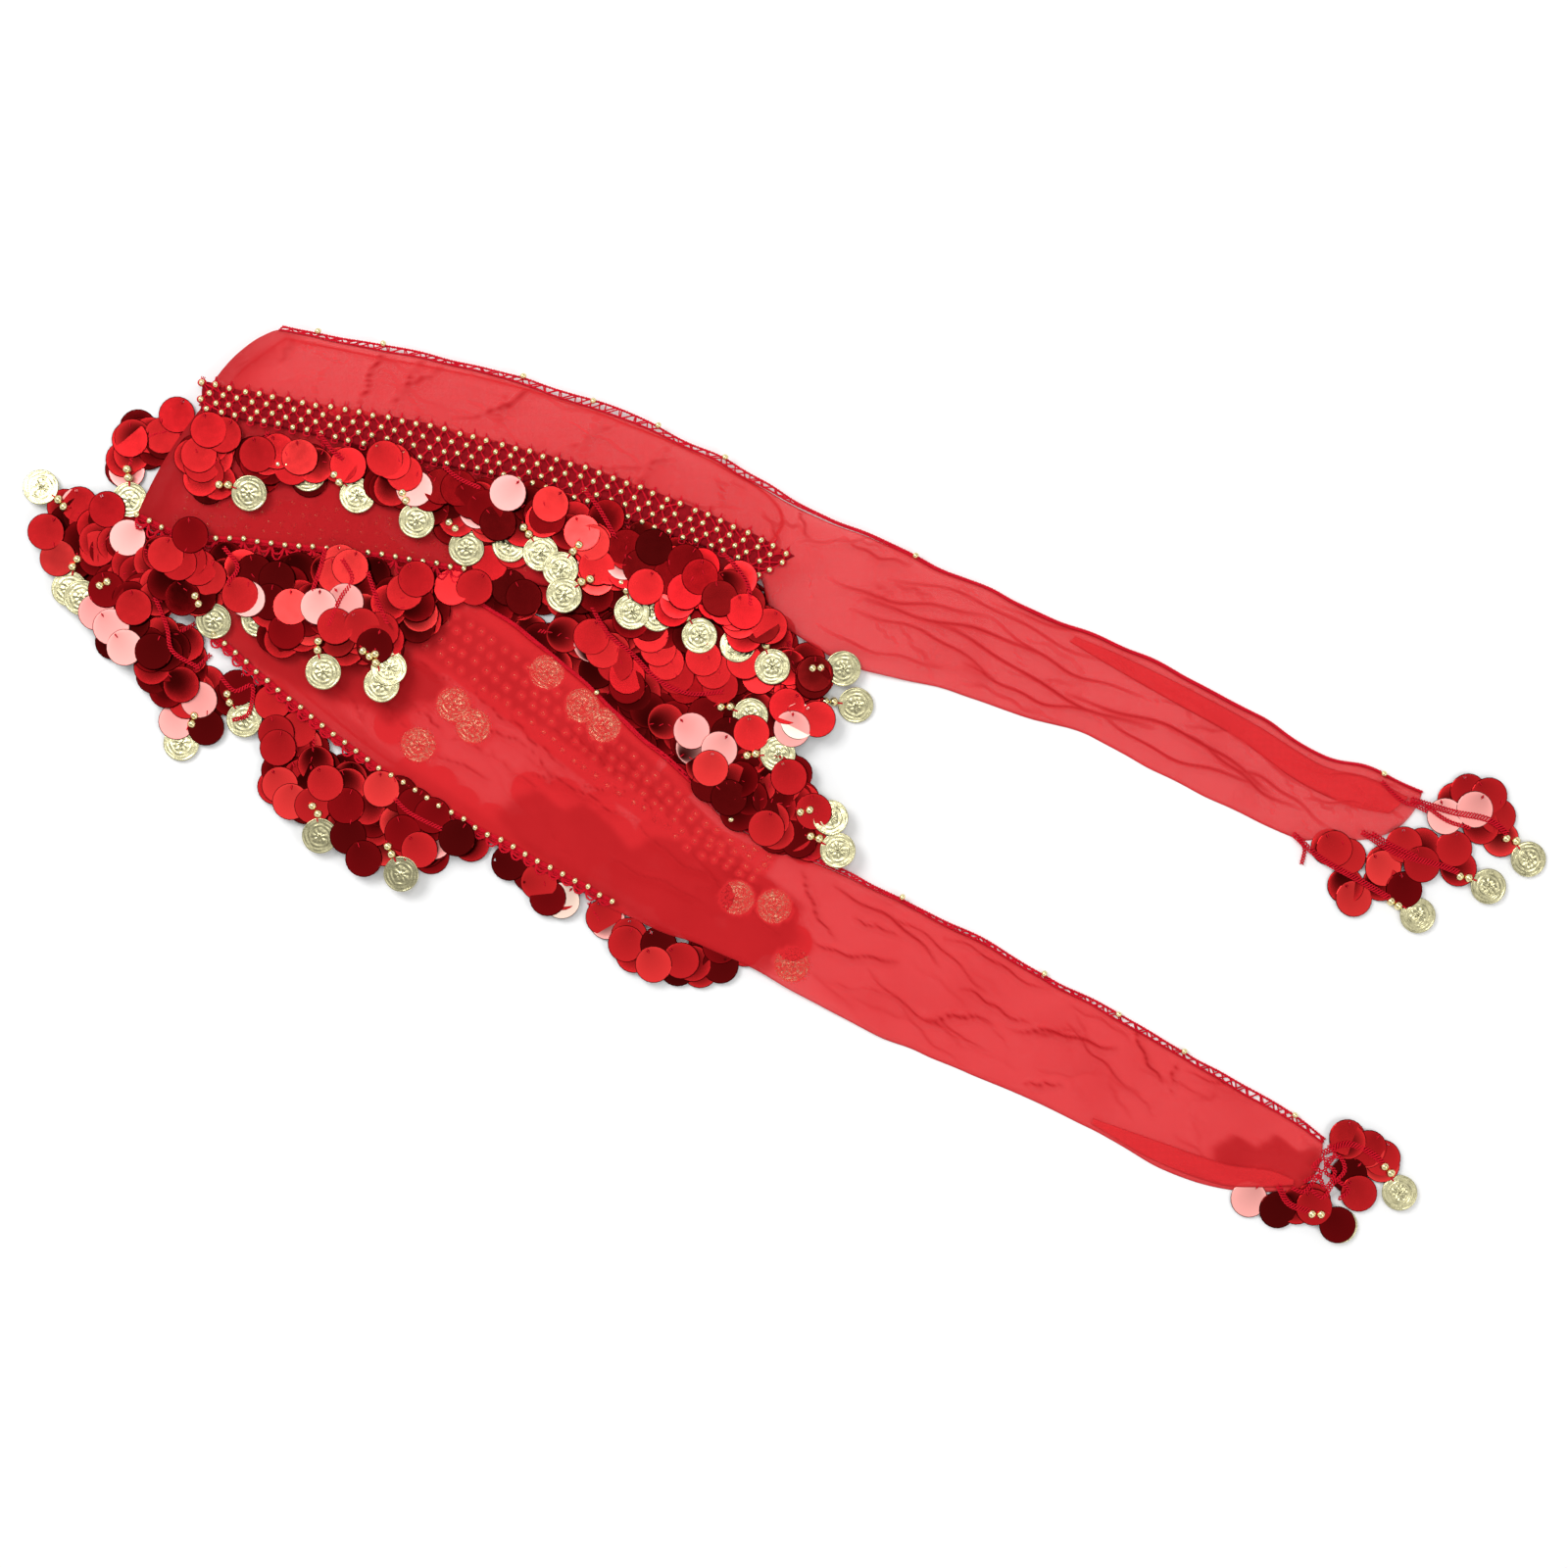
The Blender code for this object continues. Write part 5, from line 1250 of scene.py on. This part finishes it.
def makeFringe(name, tier):
    groups = tier["groups"]
    bags = [{key: newBag() for key in ("threads", "discs", "coins", "beads")} for _ in groups]
    ends = []
    fillFringe(name, tier, bags)
    for group, held in zip(groups, bags):
        for strand in group:
            line = addStrand(held, strand, tier)
            if strand[9] == 1:
                ends.append((held, line))
    for held, line in ends:
        addCoinEnd(held, line, tier)
    for shade, spots in placedDiscs.get(name, []):
        for across, down in spots:
            x, y = fromPhoto(across, down)
            level = dropOn(tier, x, y, topDiscs)
            heading = chance.uniform(-2.4, -0.7)
            hole = alongDisc((x, y), heading, -1)
            held = bags[nearestGroup(groups, x, y)]
            addDisc(held, hole, heading, level, shade, abs(chance.gauss(0, 0.03)))
            addThreadLoop(held, hole, heading, level + 0.3)
    pile = heights[tier["pile"]]
    for route in looseChains.get(name, []):
        spots = [fromPhoto(*corner) for corner in route]
        level = max(float(pile[pileCells(*spot, 3)].max()) for spot in spots)
        path = resample([(*spot, min(level, tier["base"] + 9.0) + 0.7) for spot in spots], 0.6)
        addTwist(bags[nearestGroup(groups, *spots[1])]["threads"], path, twists["chain"])
    for number, held in enumerate(bags, 1):
        node = f"fringe_{name}_{number}" if "tassel" not in name else f"{name}_{number}"
        title = node.title().replace("_", "")
        makePiece(f"{title}Chains", held["threads"], [crochetThread], [node])
        makePiece(f"{title}Discs", held["discs"], foils, [node], True)
        for key, finish, slot in (("coins", coinGold, "coin"), ("beads", beadGold, "bead")):
            if held[key]["count"]:
                makePiece(f"{title}{key.capitalize()}", held[key], [finish], [node])


# What lies between the two halves and shows through the chiffon
def makeInside(inside):
    rng = random.Random(6)
    bags = {key: newBag() for key in ("discs", "coins", "beads")}
    rows = np.array(lowerCloth["rows"], float)
    for number, ((first, last), (near, far), level) in enumerate(inside["bands"]):
        cut = [(*row, 1.0) for row in spline(rows[:, :4], np.linspace(first, last, 12))]
        cloth = dict(lowerCloth, rows=cut, waver=0.0, drawnIn=[(0, 0)], bulge=(0, 0))
        flat, _, _ = clothPoints(cloth, *inside["bandGrid"], near, far)
        ripple = np.array([[0.3 * noise.noise((x * 0.06, y * 0.06, 2.0)) for x, y in line] for line in flat])
        bag = newBag()
        points = np.dstack([flat, level + ripple]).reshape(-1, 3)
        addShape(bag, points, gridFaces(*inside["bandGrid"]), 0, np.full(len(points), 0.2))
        strip = makePiece(f"innerLayer{number + 1}", bag, [innerChiffon], ["hidden_layers"])
        applyModifier(strip, "SOLIDIFY", thickness=clothShell["thick"] * mm, offset=0.0)
    for ghost in inside["ghostRows"]:
        for spot in ghostSpots(ghost):
            addBead(bags["beads"], seedShape, (*spot, ghost["height"]), rng.uniform(0, 3))
    for across, down in inside["discs"]:
        x, y = fromPhoto(across, down)
        heading = rng.uniform(0, fullTurn)
        level = 4.3 if across < 740 else 2.4
        hole = alongDisc((x, y), heading, -1)
        level = level + rng.uniform(-0.5, 0.5)
        shade = "red" if rng.random() < 0.5 else "deep"
        addDisc(bags, hole, heading, level, shade, rng.uniform(0, 0.05))
    for across, down, level in inside["coins"]:
        x, y = fromPhoto(across, down)
        addShape(bags["coins"], coinTemplate[0] + np.array([x, y, level]), coinTemplate[1])
    for key, finish, slot in (("discs", foils, "paillette"), ("coins", [coinGold], "coin"),
                              ("beads", [beadGold], "bead")):
        makePiece(f"inner{key.capitalize()}", bags[key], finish, ["hidden_layers"], key == "discs")


for tierName in ("lower", "left", "right", "tassel_upper", "tassel_lower", "middle", "upper"):
    makeFringe(tierName, fringeTiers[tierName])
    print(f"stage: fringe {tierName}")
makeInside(insideScarf)
print("stage: inside")


# Floor, light and camera
studio = {
    "floorSize": 40.0, "overhead": 1.15, "ring": 0.4, "horizon": 1.0,
    "lens": 85.0, "frameWidth": 0.864, "focus": (800, 800), "focusHeight": 0.004,
}


def makeFloor(studio):
    half = studio["floorSize"] / 2
    mesh = bpy.data.meshes.new("floor")
    corners = [(-half, -half, 0), (half, -half, 0), (half, half, 0), (-half, half, 0)]
    mesh.from_pydata(corners, [], [(0, 1, 2, 3)])
    floor = bpy.data.objects.new("floor", mesh)
    bpy.context.scene.collection.objects.link(floor)
    white = bpy.data.materials.new("paleFloor")
    white.use_nodes = True
    tree = white.node_tree
    place = objectPlace(tree)
    grain = noiseOn(tree, place, 40.0)
    tint = mixColour(tree, grain, (0.93, 0.93, 0.93, 1), (0.95, 0.95, 0.95, 1))
    tree.links.new(tint, tree.nodes["Principled BSDF"].inputs["Base Color"])
    tree.nodes["Principled BSDF"].inputs["Roughness"].default_value = 0.9
    mesh.materials.append(white)


def makeSky(studio):          # bright overhead, a dim ring round it that the foil picks up, light walls
    world = bpy.data.worlds.new("studio")
    bpy.context.scene.world = world
    world.use_nodes = True
    tree = world.node_tree
    sky = addNode(tree, "ShaderNodeTexCoord").outputs["Generated"]
    upward = addNode(tree, "ShaderNodeSeparateXYZ", {0: sky}).outputs[2]
    ramp = addNode(tree, "ShaderNodeValToRGB", {0: upward})
    stops = [(0.0, "horizon"), (0.35, "horizon"), (0.58, "ring"), (0.93, "ring"),
             (0.985, "overhead"), (1.0, "overhead")]
    for number, (place, level) in enumerate(stops):
        stop = ramp.color_ramp.elements[number] if number < 2 else ramp.color_ramp.elements.new(place)
        value = studio[level]
        stop.position = place
        stop.color = (value, value, value, 1)
    tree.links.new(ramp.outputs["Color"], tree.nodes["Background"].inputs["Color"])


softboxes = [      # place, size and strength of each soft lamp, aimed at the middle of the scarf
    {"name": "keySoftbox", "place": (-1.2, 1.1, 1.9), "size": 1.1, "power": 31.0},
    {"name": "fillSoftbox", "place": (1.5, -0.9, 1.9), "size": 0.9, "power": 11.0},
    {"name": "topSoftbox", "place": (0.1, 0.75, 2.9), "size": 0.7, "power": 10.0},
]


def makeSoftbox(box):
    lamp = bpy.data.lights.new(box["name"], "AREA")
    lamp.size = box["size"]
    lamp.energy = box["power"]
    stand = bpy.data.objects.new(box["name"], lamp)
    stand.location = box["place"]
    across, up, level = box["place"]
    leaned = math.atan2(math.hypot(across, up), level)
    stand.rotation_euler = (leaned, 0.0, math.atan2(up, across) + math.pi / 2)
    stand.visible_camera = False
    bpy.context.scene.collection.objects.link(stand)


def makeCamera(studio):
    lens = bpy.data.cameras.new("camera")
    lens.lens = studio["lens"]
    camera = bpy.data.objects.new("camera", lens)
    centreX, centreY = fromPhoto(*studio["focus"])
    away = studio["frameWidth"] * studio["lens"] / lens.sensor_width
    camera.location = ((centreX - outlineMiddle[0]) * mm, (centreY - outlineMiddle[1]) * mm,
                       away + studio["focusHeight"])
    bpy.context.scene.collection.objects.link(camera)
    bpy.context.scene.camera = camera


makeFloor(studio)
makeSky(studio)
for box in softboxes:
    makeSoftbox(box)
makeCamera(studio)
bpy.context.scene.view_settings.view_transform = "Standard"
print("stage: studio")
